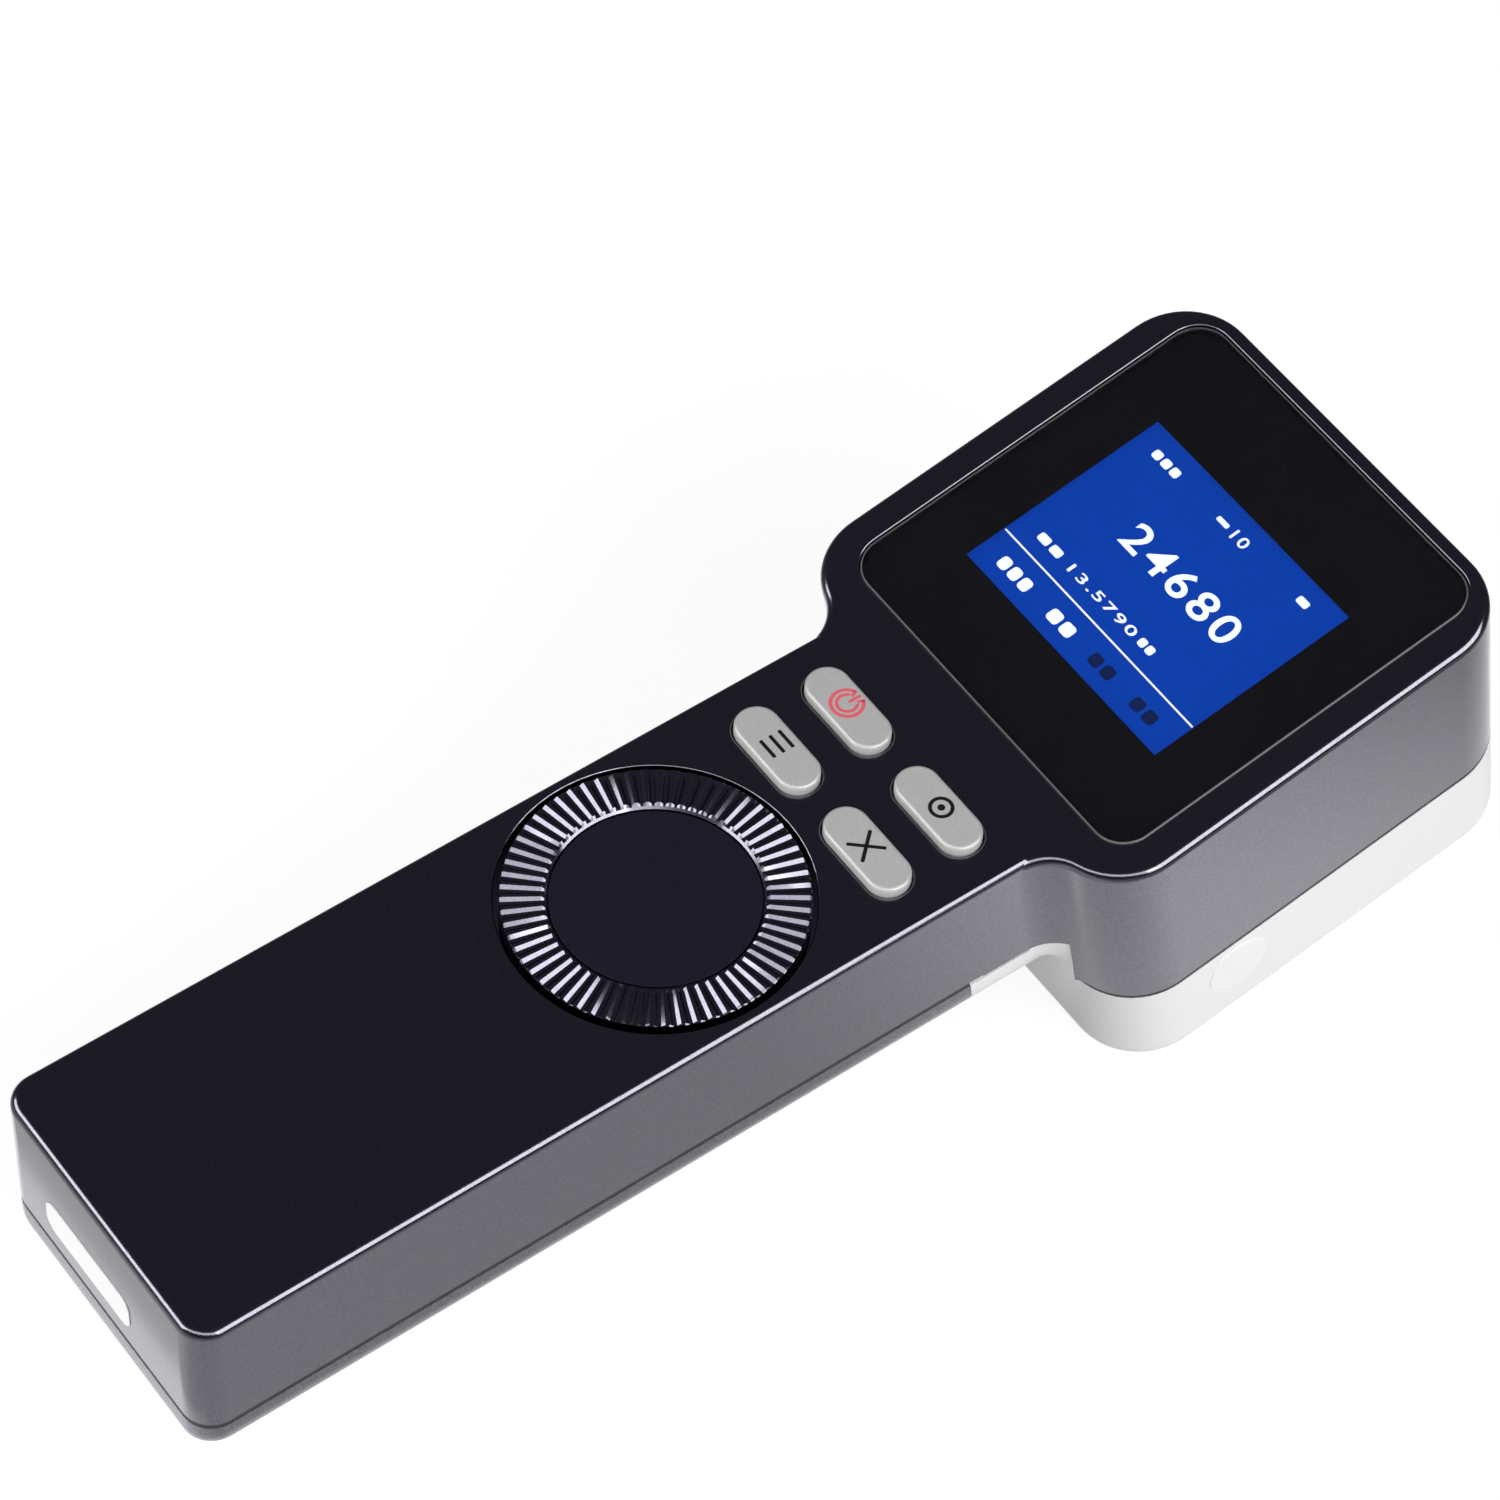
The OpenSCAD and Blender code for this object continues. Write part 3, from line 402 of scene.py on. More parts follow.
# %% Finishes of the controls and the display
satin_silver = make_finish("satin_silver", (0.59, 0.59, 0.575), metallic=0.25, gloss=(0.32, 0.38),
                           pattern=flake, scale=7000, tone=(0.93, 1.07))
dial_lacquer = make_lacquer("dial_lacquer", (0.20, 0.19, 0.235), (0.13, 0.18), 0.5, 0.04)
cap_lacquer = make_lacquer("cap_lacquer", (0.21, 0.195, 0.27), (0.16, 0.22), 0.5, 0.05)
sign_black = make_finish("sign_black", (0.010, 0.010, 0.011), gloss=(0.6, 0.7), tone=(0.9, 1.1),
                         shine=0.15)
sign_red = make_finish("sign_red", (0.80, 0.13, 0.16), gloss=(0.4, 0.5), tone=(0.94, 1.05))
print_black = make_finish("print_black", (0.005, 0.005, 0.005), gloss=(0.35, 0.45),
                          tone=(0.9, 1.1), shine=0.2)
window_edge = make_finish("window_edge", (0.16, 0.16, 0.165), metallic=0.3, gloss=(0.3, 0.36),
                          tone=(0.93, 1.06))
socket_plating = make_finish("socket_plating", (0.45, 0.45, 0.46), metallic=1.0, gloss=(0.25, 0.35))

# %% Finishes inside the casing
board_mask = make_finish("board_mask", (0.02, 0.16, 0.06), gloss=(0.3, 0.4), scale=900,
                         tone=(0.75, 1.2))
lamp_mask = make_finish("lamp_mask", (0.74, 0.75, 0.73), gloss=(0.3, 0.4), scale=900,
                        tone=(0.93, 1.04))
sink_metal = make_finish("sink_metal", (0.55, 0.56, 0.57), metallic=1.0, gloss=(0.35, 0.45),
                         pattern=brushed, scale=1200, tone=(0.9, 1.05))
lead_sleeve = make_finish("lead_sleeve", (0.5, 0.02, 0.02), gloss=(0.4, 0.5))
ribbon_film = make_finish("ribbon_film", (0.65, 0.28, 0.04), gloss=(0.25, 0.35))
mat_rubber = make_finish("mat_rubber", (0.14, 0.14, 0.14), gloss=(0.65, 0.75), bump=0.2)
switch_plastic = make_finish("switch_plastic", (0.02, 0.02, 0.02), gloss=(0.4, 0.5), bump=0.1)
cell_sleeve = make_finish("cell_sleeve", (0.03, 0.25, 0.28), gloss=(0.25, 0.35))
tray_plastic = make_finish("tray_plastic", (0.72, 0.68, 0.56), gloss=(0.45, 0.55), bump=0.1)
phosphor = make_finish("phosphor", (0.68, 0.70, 0.06), gloss=(0.45, 0.55), scale=9000,
                       tone=(0.9, 1.08))


# %% Clear acrylic for the lenses and the window
def make_clear(name, roughness):
    finish = make_finish(name, (0.97, 0.985, 0.98), gloss=(roughness, roughness + 0.02),
                         tone=(0.99, 1.0))
    set_inputs(finish.node_tree.nodes["Principled BSDF"], {"Transmission Weight": 1.0, "IOR": 1.49})
    return finish


lens_acrylic = make_clear("lens_acrylic", 0.01)
window_acrylic = make_clear("window_acrylic", 0.01)


# %% Lit liquid-crystal panel: light comes from the panel itself
def make_lit(name, colour, strength, tone):
    finish = make_finish(name, colour, gloss=(0.4, 0.5), scale=700, tone=tone, shine=0.05)
    tree = finish.node_tree
    shader = tree.nodes["Principled BSDF"]
    tint = next(node for node in tree.nodes if node.bl_idname == "ShaderNodeMix")
    tree.links.new(tint.outputs["Result"], shader.inputs["Emission Color"])
    set_inputs(shader, {"Emission Strength": strength})
    return finish


panel_blue = make_lit("panel_blue", (0.0005, 0.034, 0.29), 1.0, (0.96, 1.04))
panel_white = make_lit("panel_white", (0.80, 0.86, 0.92), 0.9, (0.97, 1.03))
panel_navy = make_lit("panel_navy", (0.004, 0.014, 0.075), 0.6, (0.95, 1.05))
print("finishes", len(bpy.data.materials))

# %% [markdown]
# ## Finishes on the carried-over solids
# Solids whose form is already right keep it, and only get their finish.

# %% Dress the solids by their slot
finish_by_slot = {
    "shell_dark": dark_lacquer, "cover_dark": cover_lacquer, "housing_white": pearl_white,
    "plate_aluminium": brushed_plate, "lens_clear": lens_acrylic, "led_phosphor": phosphor,
    "board_green": board_mask, "sink_aluminium": sink_metal, "screw_steel": screw_nickel,
    "wire_red": lead_sleeve, "window_black": window_acrylic, "screen_blue": switch_plastic,
    "ribbon_amber": ribbon_film, "key_silver": satin_silver, "mat_rubber": mat_rubber,
    "switch_black": switch_plastic, "dial_black": dial_lacquer, "cell_sleeve": cell_sleeve,
    "tray_ivory": tray_plastic, "socket_steel": socket_plating, "label_white": label_sheet,
}
for part in frame["record"]["subparts"]:
    solid = frame["nodes"][part["node"]]
    solid.data.materials.clear()
    solid.data.materials.append(finish_by_slot[part["material_slot"]])
led_board = frame["nodes"]["led_board"]
led_board.data.materials[0] = lamp_mask

# %% [markdown]
# ## Front shell
# The real shell is one moulding: the handle's front, the crease and the head. Two forms are drawn
# first, the handle and the neck with its head. The neck and head share one outline of arcs that
# touch, so that a single bevel carries the rounded front edge round the neck's S curve. The forms are
# then joined, hollowed and opened. The openings in the outer faces are cut with flared cutters, because
# the edge of a moulded opening is never sharp and shows as a thin line of light.


# %% Tests for picking edges, and blocks with rounded upright edges
def is_upright(edge):
    first, second = (corner.co for corner in edge.verts)
    return abs(first.x - second.x) < 1e-4 and abs(first.y - second.y) < 1e-4


def lies_at(edge, height):
    return both_ends(edge, lambda co: abs(co.z - height) < 1e-3)


def rounded_block(name, low, high, corner, steps=10):
    block = add_block(name, low, high)
    bevel_edges(block, is_upright, corner, steps)
    return block


def centred_block(name, width, length, low, high, corner, steps=10):
    return rounded_block(name, (-width / 2, -length / 2, low), (width / 2, length / 2, high), corner, steps)


# %% Handle form
HANDLE_HALF = 27.5
HANDLE_DEPTH = 26.2
HANDLE_CORNER = 5.2
FRONT_EDGE = 1.6
EDGE_STEPS = 6
SEAM_OPEN = 0.4
BURIED = 4
shell = add_block("shell", (-HANDLE_HALF, 0, SEAM_OPEN - HANDLE_DEPTH), (HANDLE_HALF, NECK + BURIED, 0))
bevel_edges(shell, lambda edge: is_upright(edge) and edge.verts[0].co.y < 1, HANDLE_CORNER, 10)
bevel_edges(shell, lambda edge: lies_at(edge, 0) and not both_ends(edge, lambda co: co.y > NECK),
            FRONT_EDGE, EDGE_STEPS)
print("handle form", len(shell.data.polygons), "faces")

# %% Neck and head form, drawn flat and then tilted about the crease
HEAD_HALF = 41.6
HEAD_START = 3.5
HEAD_LENGTH = 83.9
HEAD_END = HEAD_START + HEAD_LENGTH
HEAD_MIDDLE = HEAD_START + HEAD_LENGTH / 2
HEAD_DEPTH = 39.5
HEAD_CORNER = 12.5
NECK_FILLET = 8
neck_half = HANDLE_HALF - 0.01
neck_back = -12
head_foot = SEAM_OPEN - HEAD_DEPTH
corner_x = HEAD_HALF - HEAD_CORNER
corner_y = HEAD_START + HEAD_CORNER
round_x = neck_half + NECK_FILLET
round_y = corner_y - math.sqrt((HEAD_CORNER + NECK_FILLET) ** 2 - (round_x - corner_x) ** 2)
meeting = math.atan2(corner_y - round_y, corner_x - round_x)
right_side = [(neck_half, neck_back)]
right_side += arc(round_x, round_y, NECK_FILLET, math.pi, meeting, 10)
right_side += arc(corner_x, corner_y, HEAD_CORNER, meeting - math.pi, 0, 14)[1:]
right_side += arc(corner_x, HEAD_END - HEAD_CORNER, HEAD_CORNER, 0, math.pi / 2, 14)
left_side = [(-x, y) for x, y in reversed(right_side)]
head = add_prism("head", right_side + left_side, 0, head_foot)
bevel_edges(head, lambda edge: lies_at(edge, 0) and not both_ends(edge, lambda co: co.y < neck_back + 1),
            FRONT_EDGE, EDGE_STEPS)
lay_down(head, TILT)

# %% The lamp housing's saddle takes the room behind the neck
STEP_HALF = 30.6
SADDLE_REACH = 30
room = add_block("room", (-STEP_HALF, NECK - SADDLE_REACH, -3 * HANDLE_DEPTH),
                 (STEP_HALF, NECK + SADDLE_REACH, -HANDLE_DEPTH))
cut_with(head, [room])
cut_with(shell, [head], "UNION")
print("joined form", len(shell.data.polygons), "faces")

# %% Hollow
WALL = 2.2
FRONT_WALL = 2.4
HEAD_WALL = 2.6
ROOM_PAST_NECK = 14
handle_room = add_block("handle_room", (WALL - HANDLE_HALF, WALL, -HANDLE_DEPTH - 1),
                        (HANDLE_HALF - WALL, NECK + ROOM_PAST_NECK, -FRONT_WALL))
head_room = rounded_block("head_room", (WALL - HEAD_HALF, HEAD_START + WALL, -HEAD_DEPTH - 1),
                          (HEAD_HALF - WALL, HEAD_END - WALL, -HEAD_WALL), HEAD_CORNER - WALL)
lay_down(head_room, TILT)
cut_with(shell, [handle_room, head_room])


# %% Posts for the screws, and the cup that holds the dial
def add_rod(x, y, radius, top, bottom, sides=32):
    clear_selection()
    bpy.ops.mesh.primitive_cylinder_add(vertices=sides, radius=radius, depth=top - bottom,
                                        location=(x, y, (top + bottom) / 2))
    rod = bpy.context.object
    bpy.ops.object.transform_apply()
    return rod


SCREW_X = 19.2
SCREW_PLACES = (5.2, 126.7)
BOARD_POST_X = 20
BOARD_POST_PLACES = (70.4, 158.4)
HEAD_POST_INSET = 7.6
HEAD_POST_X = HEAD_HALF - HEAD_POST_INSET
HEAD_POST_Y = HEAD_LENGTH / 2 - HEAD_POST_INSET
POST_RADIUS = 2.5
POST_ROOT = -1.8
BOARD_FACE = -13.2
HEAD_POST_RADIUS = 3
HEAD_POST_ROOT = -2.2
SINK_TOP = 40.8
WELL_RADIUS = 25.3
WELL_FLOOR = 4
CUP_WALL = 1.4
CUP_FLOOR = 1.6
posts = [add_rod(0, DIAL_PLACE, WELL_RADIUS + CUP_WALL, POST_ROOT, -WELL_FLOOR - CUP_FLOOR, 128)]
for side in (-1, 1):
    for place in SCREW_PLACES:
        posts.append(add_rod(side * SCREW_X, place, POST_RADIUS, POST_ROOT, -HANDLE_DEPTH))
    for place in BOARD_POST_PLACES:
        posts.append(add_rod(side * BOARD_POST_X, place, POST_RADIUS, POST_ROOT, BOARD_FACE))
    for end in (-1, 1):
        post = add_rod(side * HEAD_POST_X, HEAD_MIDDLE + end * HEAD_POST_Y, HEAD_POST_RADIUS,
                       HEAD_POST_ROOT, -SINK_TOP)
        lay_down(post, TILT)
        posts.append(post)
cut_with(shell, [join(posts, "posts")], "UNION")


# %% Flared cutters leave a rounded edge on every opening
def opening_cutter(width, length, corner, depth, rounding, steps=10):
    lip = 0.02
    cutter = centred_block("cutter", width, length, -depth, 1, corner, steps)
    split_level(cutter, lip)
    flare_walls(cutter, lambda height: height > lip, 2 * rounding)
    bevel_edges(cutter, lambda edge: lies_at(edge, lip) and any(
        face.calc_center_median().z < lip - 0.01 for face in edge.link_faces), rounding, 4)
    return cutter


# %% Openings of the handle
KEY_LENGTH = 18.2
KEY_WIDTH = 7.6
KEY_GAP = 0.3
KEY_X = 11.9
KEY_ROWS = (134.2, 148.15)
SHAFT_HOLE_RADIUS = 3.6
SHAFT_HOLE_FOOT = -8
well = opening_cutter(2 * WELL_RADIUS, 2 * WELL_RADIUS, WELL_RADIUS - 0.01, WELL_FLOOR, 0.35, 32)
lay_down(well, shift(0, DIAL_PLACE))
tools = [well, add_rod(0, DIAL_PLACE, SHAFT_HOLE_RADIUS, 0, SHAFT_HOLE_FOOT)]
for side in (-1, 1):
    for row in KEY_ROWS:
        key_hole = opening_cutter(KEY_LENGTH + 2 * KEY_GAP, KEY_WIDTH + 2 * KEY_GAP,
                                  KEY_WIDTH / 2 + KEY_GAP - 0.01, FRONT_WALL + 1, 0.4, 14)
        lay_down(key_hole, shift(side * KEY_X, row))
        tools.append(key_hole)
PORT_PLACES = (95.4, 104.9, 114.4)
PORT_DEPTH = 23.2
PORT_HEIGHT = 3.7
PORT_LENGTH = 7.3
for place in PORT_PLACES:
    port_hole = opening_cutter(PORT_HEIGHT, PORT_LENGTH, 0.8, 2 * WALL, 0.3, 4)
    lay_down(port_hole, shift(-HANDLE_HALF, place, -PORT_DEPTH) @ Matrix.Rotation(-math.pi / 2, 4, "Y"))
    tools.append(port_hole)
cut_with(shell, tools)

# %% Openings of the head: the window's pocket and the aperture over the display
WINDOW_WIDTH = 71.4
WINDOW_LENGTH = 74
WINDOW_CORNER = 6
WINDOW_START = 10.5
WINDOW_MIDDLE = WINDOW_START + WINDOW_LENGTH / 2
POCKET_DEPTH = 1.65
SCREEN_WIDTH = 49
SCREEN_LENGTH = 39.4
SCREEN_START = 26.6
SCREEN_MIDDLE = SCREEN_START + SCREEN_LENGTH / 2
SLIP = 0.15
pocket = opening_cutter(WINDOW_WIDTH + 2 * SLIP, WINDOW_LENGTH + 2 * SLIP, WINDOW_CORNER + SLIP,
                        POCKET_DEPTH, 0.3, 10)
lay_down(pocket, TILT @ shift(0, WINDOW_MIDDLE))
APERTURE_MARGIN = 0.8
aperture_x = SCREEN_WIDTH / 2 + APERTURE_MARGIN
aperture_y = SCREEN_LENGTH / 2 + APERTURE_MARGIN
aperture = add_block("aperture", (-aperture_x, -aperture_y, -5), (aperture_x, aperture_y, 1))
lay_down(aperture, TILT @ shift(0, SCREEN_MIDDLE))
cut_with(shell, [pocket, aperture])
print("opened shell", len(shell.data.polygons), "faces")

# %% Clean up, keep the crease crisp, and dress the shell
pick(shell, "FACE")
bpy.ops.mesh.remove_doubles(threshold=1e-4)
bpy.ops.mesh.dissolve_degenerate(threshold=1e-4)
bpy.ops.mesh.normals_make_consistent(inside=False)
done_editing()
crease_edges = pick(shell, "EDGE", lambda edge: both_ends(
    edge, lambda co: abs(co.y - NECK) < 0.05 and abs(co.z) < 0.05))
bpy.ops.mesh.mark_sharp()
done_editing()


def smooth_flats(piece, degrees=30):
    """Smooth by angle, with large flat faces leading the shading."""
    work_on(piece)
    bpy.ops.object.shade_smooth_by_angle(angle=math.radians(degrees), keep_sharp_edges=True)
    modifier = piece.modifiers.new("flats", "WEIGHTED_NORMAL")
    modifier.keep_sharp = True
    bpy.ops.object.modifier_apply(modifier=modifier.name)


smooth_flats(shell)
print("crease edges", crease_edges)
dress(shell, HANDLE, "front_shell_moulding", "case", "shell_dark", dark_lacquer, "front_shell")

# %% [markdown]
# ## Rear cover
# The real cover is a shallow tray whose sides and end roll softly into its back. A bevel as wide as
# this roll would cross itself at the corners, so the outline is drawn down step by step instead, and
# each step is resized about the middle of the far end. The corners then keep their round outline.
# The same form, drawn smaller, hollows it.

# %% Rear cover
COVER_DEPTH = 10.6
COVER_SIDE_ROLL = 8.3
COVER_END_ROLL = 7
COVER_STEPS = 14
COVER_END = -14.6
SEAM_HEIGHT = 0.6
SEAM_DEPTH = 0.8
LIP_EDGE = 0.15


def rolled_in(roll, depth, below):
    """How far a quarter-round at the foot of a wall has come in at a depth."""
    drop = max(below - (depth - roll), 0)
    return roll - math.sqrt(max(roll ** 2 - drop ** 2, 0))


def cover_form(name, inset, top):
    depth = COVER_DEPTH - inset
    side_roll, end_roll = COVER_SIDE_ROLL - inset, COVER_END_ROLL - inset
    half = HANDLE_HALF - inset
    length = NECK - inset
    start = depth - side_roll
    form = add_block(name, (-half, inset, -HANDLE_DEPTH - start), (half, NECK, top))
    bevel_edges(form, lambda edge: is_upright(edge) and edge.verts[0].co.y < inset + 1,
                HANDLE_CORNER - inset, 10)
    pick(form, "FACE", lambda face: face.normal.z < -0.9)
    below, width, reach = start, half, length
    for step in range(1, COVER_STEPS + 1):
        deeper = start + side_roll * math.sin(step / COVER_STEPS * math.pi / 2)
        narrower = half - rolled_in(side_roll, depth, deeper)
        shorter = length - rolled_in(end_roll, depth, deeper)
        extrude_by(0, 0, below - deeper)
        bpy.ops.transform.resize(value=(narrower / width, shorter / reach, 1), center_override=(0, NECK, 0))
        below, width, reach = deeper, narrower, shorter
    done_editing()
    return form


cover = cover_form("cover", 0, -HANDLE_DEPTH - SEAM_HEIGHT)
pick(cover, "FACE")
bpy.ops.mesh.bisect(plane_co=TILT @ Vector((0, COVER_END, 0)),
                    plane_no=TILT.to_3x3() @ Vector((0, 1, 0)), use_fill=True, clear_outer=True)
done_editing()
bevel_edges(cover, lambda edge: lies_at(edge, -HANDLE_DEPTH - SEAM_HEIGHT)
            and not both_ends(edge, lambda co: co.y > NECK + COVER_END), LIP_EDGE, 2)
pick(cover, "FACE", lambda face: face.normal.z > 0.99)
bpy.ops.mesh.inset(thickness=SEAM_DEPTH - LIP_EDGE)
extrude_by(0, 0, SEAM_HEIGHT)
done_editing()
cut_with(cover, [cover_form("cover_room", WALL, -HANDLE_DEPTH + 1)])

# %% Screw posts and counterbores of the rear cover
COVER_BACK = HANDLE_DEPTH + COVER_DEPTH
COUNTERBORE_RADIUS = 2.5
COUNTERBORE_DEPTH = 2.4
COVER_POST_RADIUS = 3.4
SCREW_HOLE_RADIUS = 1.15
COVER_POST_FOOT = 1.2
posts = []
bores = []
for side in (-1, 1):
    for place in SCREW_PLACES:
        x = side * SCREW_X
        posts.append(add_rod(x, place, COVER_POST_RADIUS, -HANDLE_DEPTH, -COVER_BACK + COVER_POST_FOOT))
        bores.append(add_rod(x, place, COUNTERBORE_RADIUS, COUNTERBORE_DEPTH - COVER_BACK,
                             -COVER_BACK - 1, 48))
        bores.append(add_rod(x, place, SCREW_HOLE_RADIUS, 1 - HANDLE_DEPTH, -COVER_BACK))
cut_with(cover, [join(posts, "cover_posts")], "UNION")
cut_with(cover, bores)
smooth_flats(cover)
dress(cover, HANDLE, "rear_cover_moulding", "case", "cover_dark", cover_lacquer, "rear_cover")

# %% Painted shade: black sheets in the grooves under the head and under the handle's front, where shade falls
SHADE_SHEET_INSET = 0.1
SHADE_SHEET_WIDTH = 0.6
SHADE_SHEET_PLAY = 0.02
SHADE_SHEET_END = NECK + COVER_END + 4.6


def add_groove_shade_sheet(name, half, start, end, corner, depth, opening, place):
    """A thin black frame that fills a groove as painted shade, left open where the neck is."""
    def shade_sheet_block(inset, low, high):
        return rounded_block("lip", (-half + inset, start + inset, low), (half - inset, end - inset, high),
                             corner - inset, 14)

    lip = shade_sheet_block(SHADE_SHEET_INSET, SHADE_SHEET_PLAY - depth - SEAM_HEIGHT, SEAM_OPEN - depth - SHADE_SHEET_PLAY)
    cut_with(lip, [shade_sheet_block(SHADE_SHEET_INSET + SHADE_SHEET_WIDTH, -depth - 2, 2 - depth),
                   add_block("opening", (*opening[0], -depth - 2), (*opening[1], 2 - depth))])
    smooth_flats(lip)
    dress(lip, place, name, "case", "switch_black", switch_plastic)


# Both sheets are painted shade: their black stands for the shade inside the seam grooves.
add_groove_shade_sheet("head_seam_painted_shade", HEAD_HALF, HEAD_START, HEAD_END, HEAD_CORNER, HEAD_DEPTH,
        ((-STEP_HALF, 0), (STEP_HALF, HEAD_MIDDLE)), HEAD)
add_groove_shade_sheet("handle_seam_painted_shade", HANDLE_HALF, 0, NECK, HANDLE_CORNER, HANDLE_DEPTH,
        ((-HEAD_HALF, SHADE_SHEET_END), (HEAD_HALF, HEAD_END + NECK)), HANDLE)

# %% [markdown]
# ## Dial
# The dial is a plain cap inside a ring of sixty-two teeth for the thumb. The ring is a spun profile
# with four steps to a tooth. Two steps of each tooth are pressed down to the valley, which leaves
# straight flanks that flash in turn as the dial is turned.

# %% Toothed ring
TOOTH_COUNT = 62
STEPS_PER_TOOTH = 4
RING_INNER = 16.95
RING_OUTER = 24.35
RING_CREST = 0.7
VALLEY = 0.24
INNER_CHAMFER = 0.34
RING_FOOT = -2.6
ring_profile = [
    (RING_INNER, RING_FOOT), (RING_INNER, VALLEY - INNER_CHAMFER), (RING_INNER + INNER_CHAMFER, VALLEY),
    (RING_INNER + INNER_CHAMFER + RING_CREST - VALLEY, RING_CREST),
    (RING_OUTER - 0.5, RING_CREST), (RING_OUTER - 0.15, RING_CREST - 0.12),
    (RING_OUTER, RING_CREST - 0.45), (RING_OUTER, RING_FOOT), (RING_INNER, RING_FOOT),
]
ring = add_lathe("ring", ring_profile, TOOTH_COUNT * STEPS_PER_TOOTH)


def step_of(corner, count):
    """The number of the spin step on which a corner of a spun piece lies."""
    return round(math.atan2(corner.co.y, corner.co.x) / (2 * math.pi / count))


PRESSED_STEPS = (0, 1)
pick(ring, "VERT", lambda corner: corner.co.z > VALLEY and step_of(
    corner, TOOTH_COUNT * STEPS_PER_TOOTH) % STEPS_PER_TOOTH in PRESSED_STEPS)
bpy.ops.transform.resize(value=(1, 1, 0), center_override=(0, 0, VALLEY))
done_editing()
AT_DIAL = HANDLE @ shift(0, DIAL_PLACE)
smooth(ring, 20)
dress(ring, AT_DIAL, "dial_toothed_ring", "dial", "dial_black", dial_lacquer, "dial_ring")

# %% Cap
CAP_RADIUS = 16.8
CAP_TOP = -0.05
FLANGE_RADIUS = 20.8
FLANGE_FOOT = -3.6
BORE_RADIUS = 3
BORE_TOP = -1.5
cap_profile = [
    (0, CAP_TOP), (CAP_RADIUS - 0.4, CAP_TOP), (CAP_RADIUS - 0.12, CAP_TOP - 0.12),
    (CAP_RADIUS, CAP_TOP - 0.4), (CAP_RADIUS, RING_FOOT), (FLANGE_RADIUS, RING_FOOT),
    (FLANGE_RADIUS, FLANGE_FOOT), (BORE_RADIUS, FLANGE_FOOT), (BORE_RADIUS, BORE_TOP), (0, BORE_TOP),
]
cap = add_lathe("cap", cap_profile, 128)
smooth(cap)
dress(cap, AT_DIAL, "dial_centre_cap", "dial", "dial_black", cap_lacquer, "dial_cap")

# %% [markdown]
# ## Keys
# Four pill-shaped keys of satin silver stand a little out of the shell. One key is drawn: a cube with
# its upright edges rounded to a pill, a skirt drawn out below the shell, and a soft top edge. The
# signs are thin prints: a power sign, a ring with a dot, three bars and a cross.

# %% One key
KEY_TOP = 1.65
SKIRT_TOP = -2.7
SKIRT_BOTTOM = -3.7
SKIRT_REACH = 0.8
KEY_EDGE = 0.6
key_model = centred_block("key", KEY_LENGTH, KEY_WIDTH, SKIRT_BOTTOM, KEY_TOP, KEY_WIDTH / 2 - 0.01, 14)
split_level(key_model, SKIRT_TOP)
flare_walls(key_model, lambda height: height < SKIRT_TOP, SKIRT_REACH)
bevel_edges(key_model, lambda edge: lies_at(edge, KEY_TOP), KEY_EDGE, 5)
smooth_flats(key_model)

# %% Prints for the signs
PRINT_THICKNESS = 0.05


def flat_bar(x, y, length, width, top, turn=0.0):
    bar = centred_block("bar", length, width, -PRINT_THICKNESS, 0, width / 4, 2)
    lay_down(bar, shift(x, y, top) @ Matrix.Rotation(turn, 4, "Z"))
    return bar


def flat_ring(x, y, outer, inner, top):
    low = top - PRINT_THICKNESS
    profile = [(inner, low), (outer, low), (outer, top), (inner, top), (inner, low)]
    ring_print = add_lathe("ring_print", profile, 48)
    lay_down(ring_print, shift(x, y))
    return ring_print


# %% Signs, drawn about each key's middle
SIGN_TOP = KEY_TOP + 0.02
STROKE = 0.62


def power_sign():
    lines = [flat_ring(-0.6, 0.2, 2.95, 2.35, SIGN_TOP), flat_ring(-0.6, 0.2, 1.95, 1.4, SIGN_TOP)]
    for line in lines:
        cut_with(line, [add_block("gap", (-1.6, 0.2, 1), (0.4, 4, 2))])
    lines += [flat_bar(-1.5, 2.25, 1.3, 0.5, SIGN_TOP, math.radians(112)),
              flat_bar(0.3, 2.25, 1.3, 0.5, SIGN_TOP, math.radians(68)),
              flat_bar(-0.6, 1.7, 2.4, 0.55, SIGN_TOP, math.pi / 2)]
    return lines


def set_sign():
    return [flat_ring(0.4, 0.2, 2.1, 2.1 - STROKE, SIGN_TOP), flat_ring(0.4, 0.2, 0.62, 0.02, SIGN_TOP)]


def mode_sign():
    return [flat_bar(-0.4, 0.2 + row, 4, STROKE, SIGN_TOP) for row in (-1.8, 0, 1.8)]


def cancel_sign():
    return [flat_bar(-0.3, 0, 6.3, STROKE, SIGN_TOP, turn) for turn in (0.84, -0.84)]


# %% Four keys from the one, each with its sign
keys = (
    ("power_key", -1, 1, power_sign, sign_red),
    ("set_key", 1, 1, set_sign, sign_black),
    ("mode_key", -1, 0, mode_sign, sign_black),
    ("cancel_key", 1, 0, cancel_sign, sign_black),
)
for name, side, row, draw_sign, ink in keys:
    at_key = HANDLE @ shift(side * KEY_X, KEY_ROWS[row])
    key = copy_of(key_model, name + "_cap")
    dress(key, at_key, name + "_cap", name, "key_silver", satin_silver, name)
    sign = join(draw_sign(), name + "_sign")
    dress(sign, at_key, name + "_sign", name, "key_silver", ink)
bpy.data.objects.remove(key_model, do_unlink=True)

# %% [markdown]
# ## Display
# The window is a clear sheet with a black print on its back that leaves the screen open, over a lit
# panel. Plain numbers and bars lie on the panel as thin pieces that give light of their own, so they
# stay bright in a dim room.

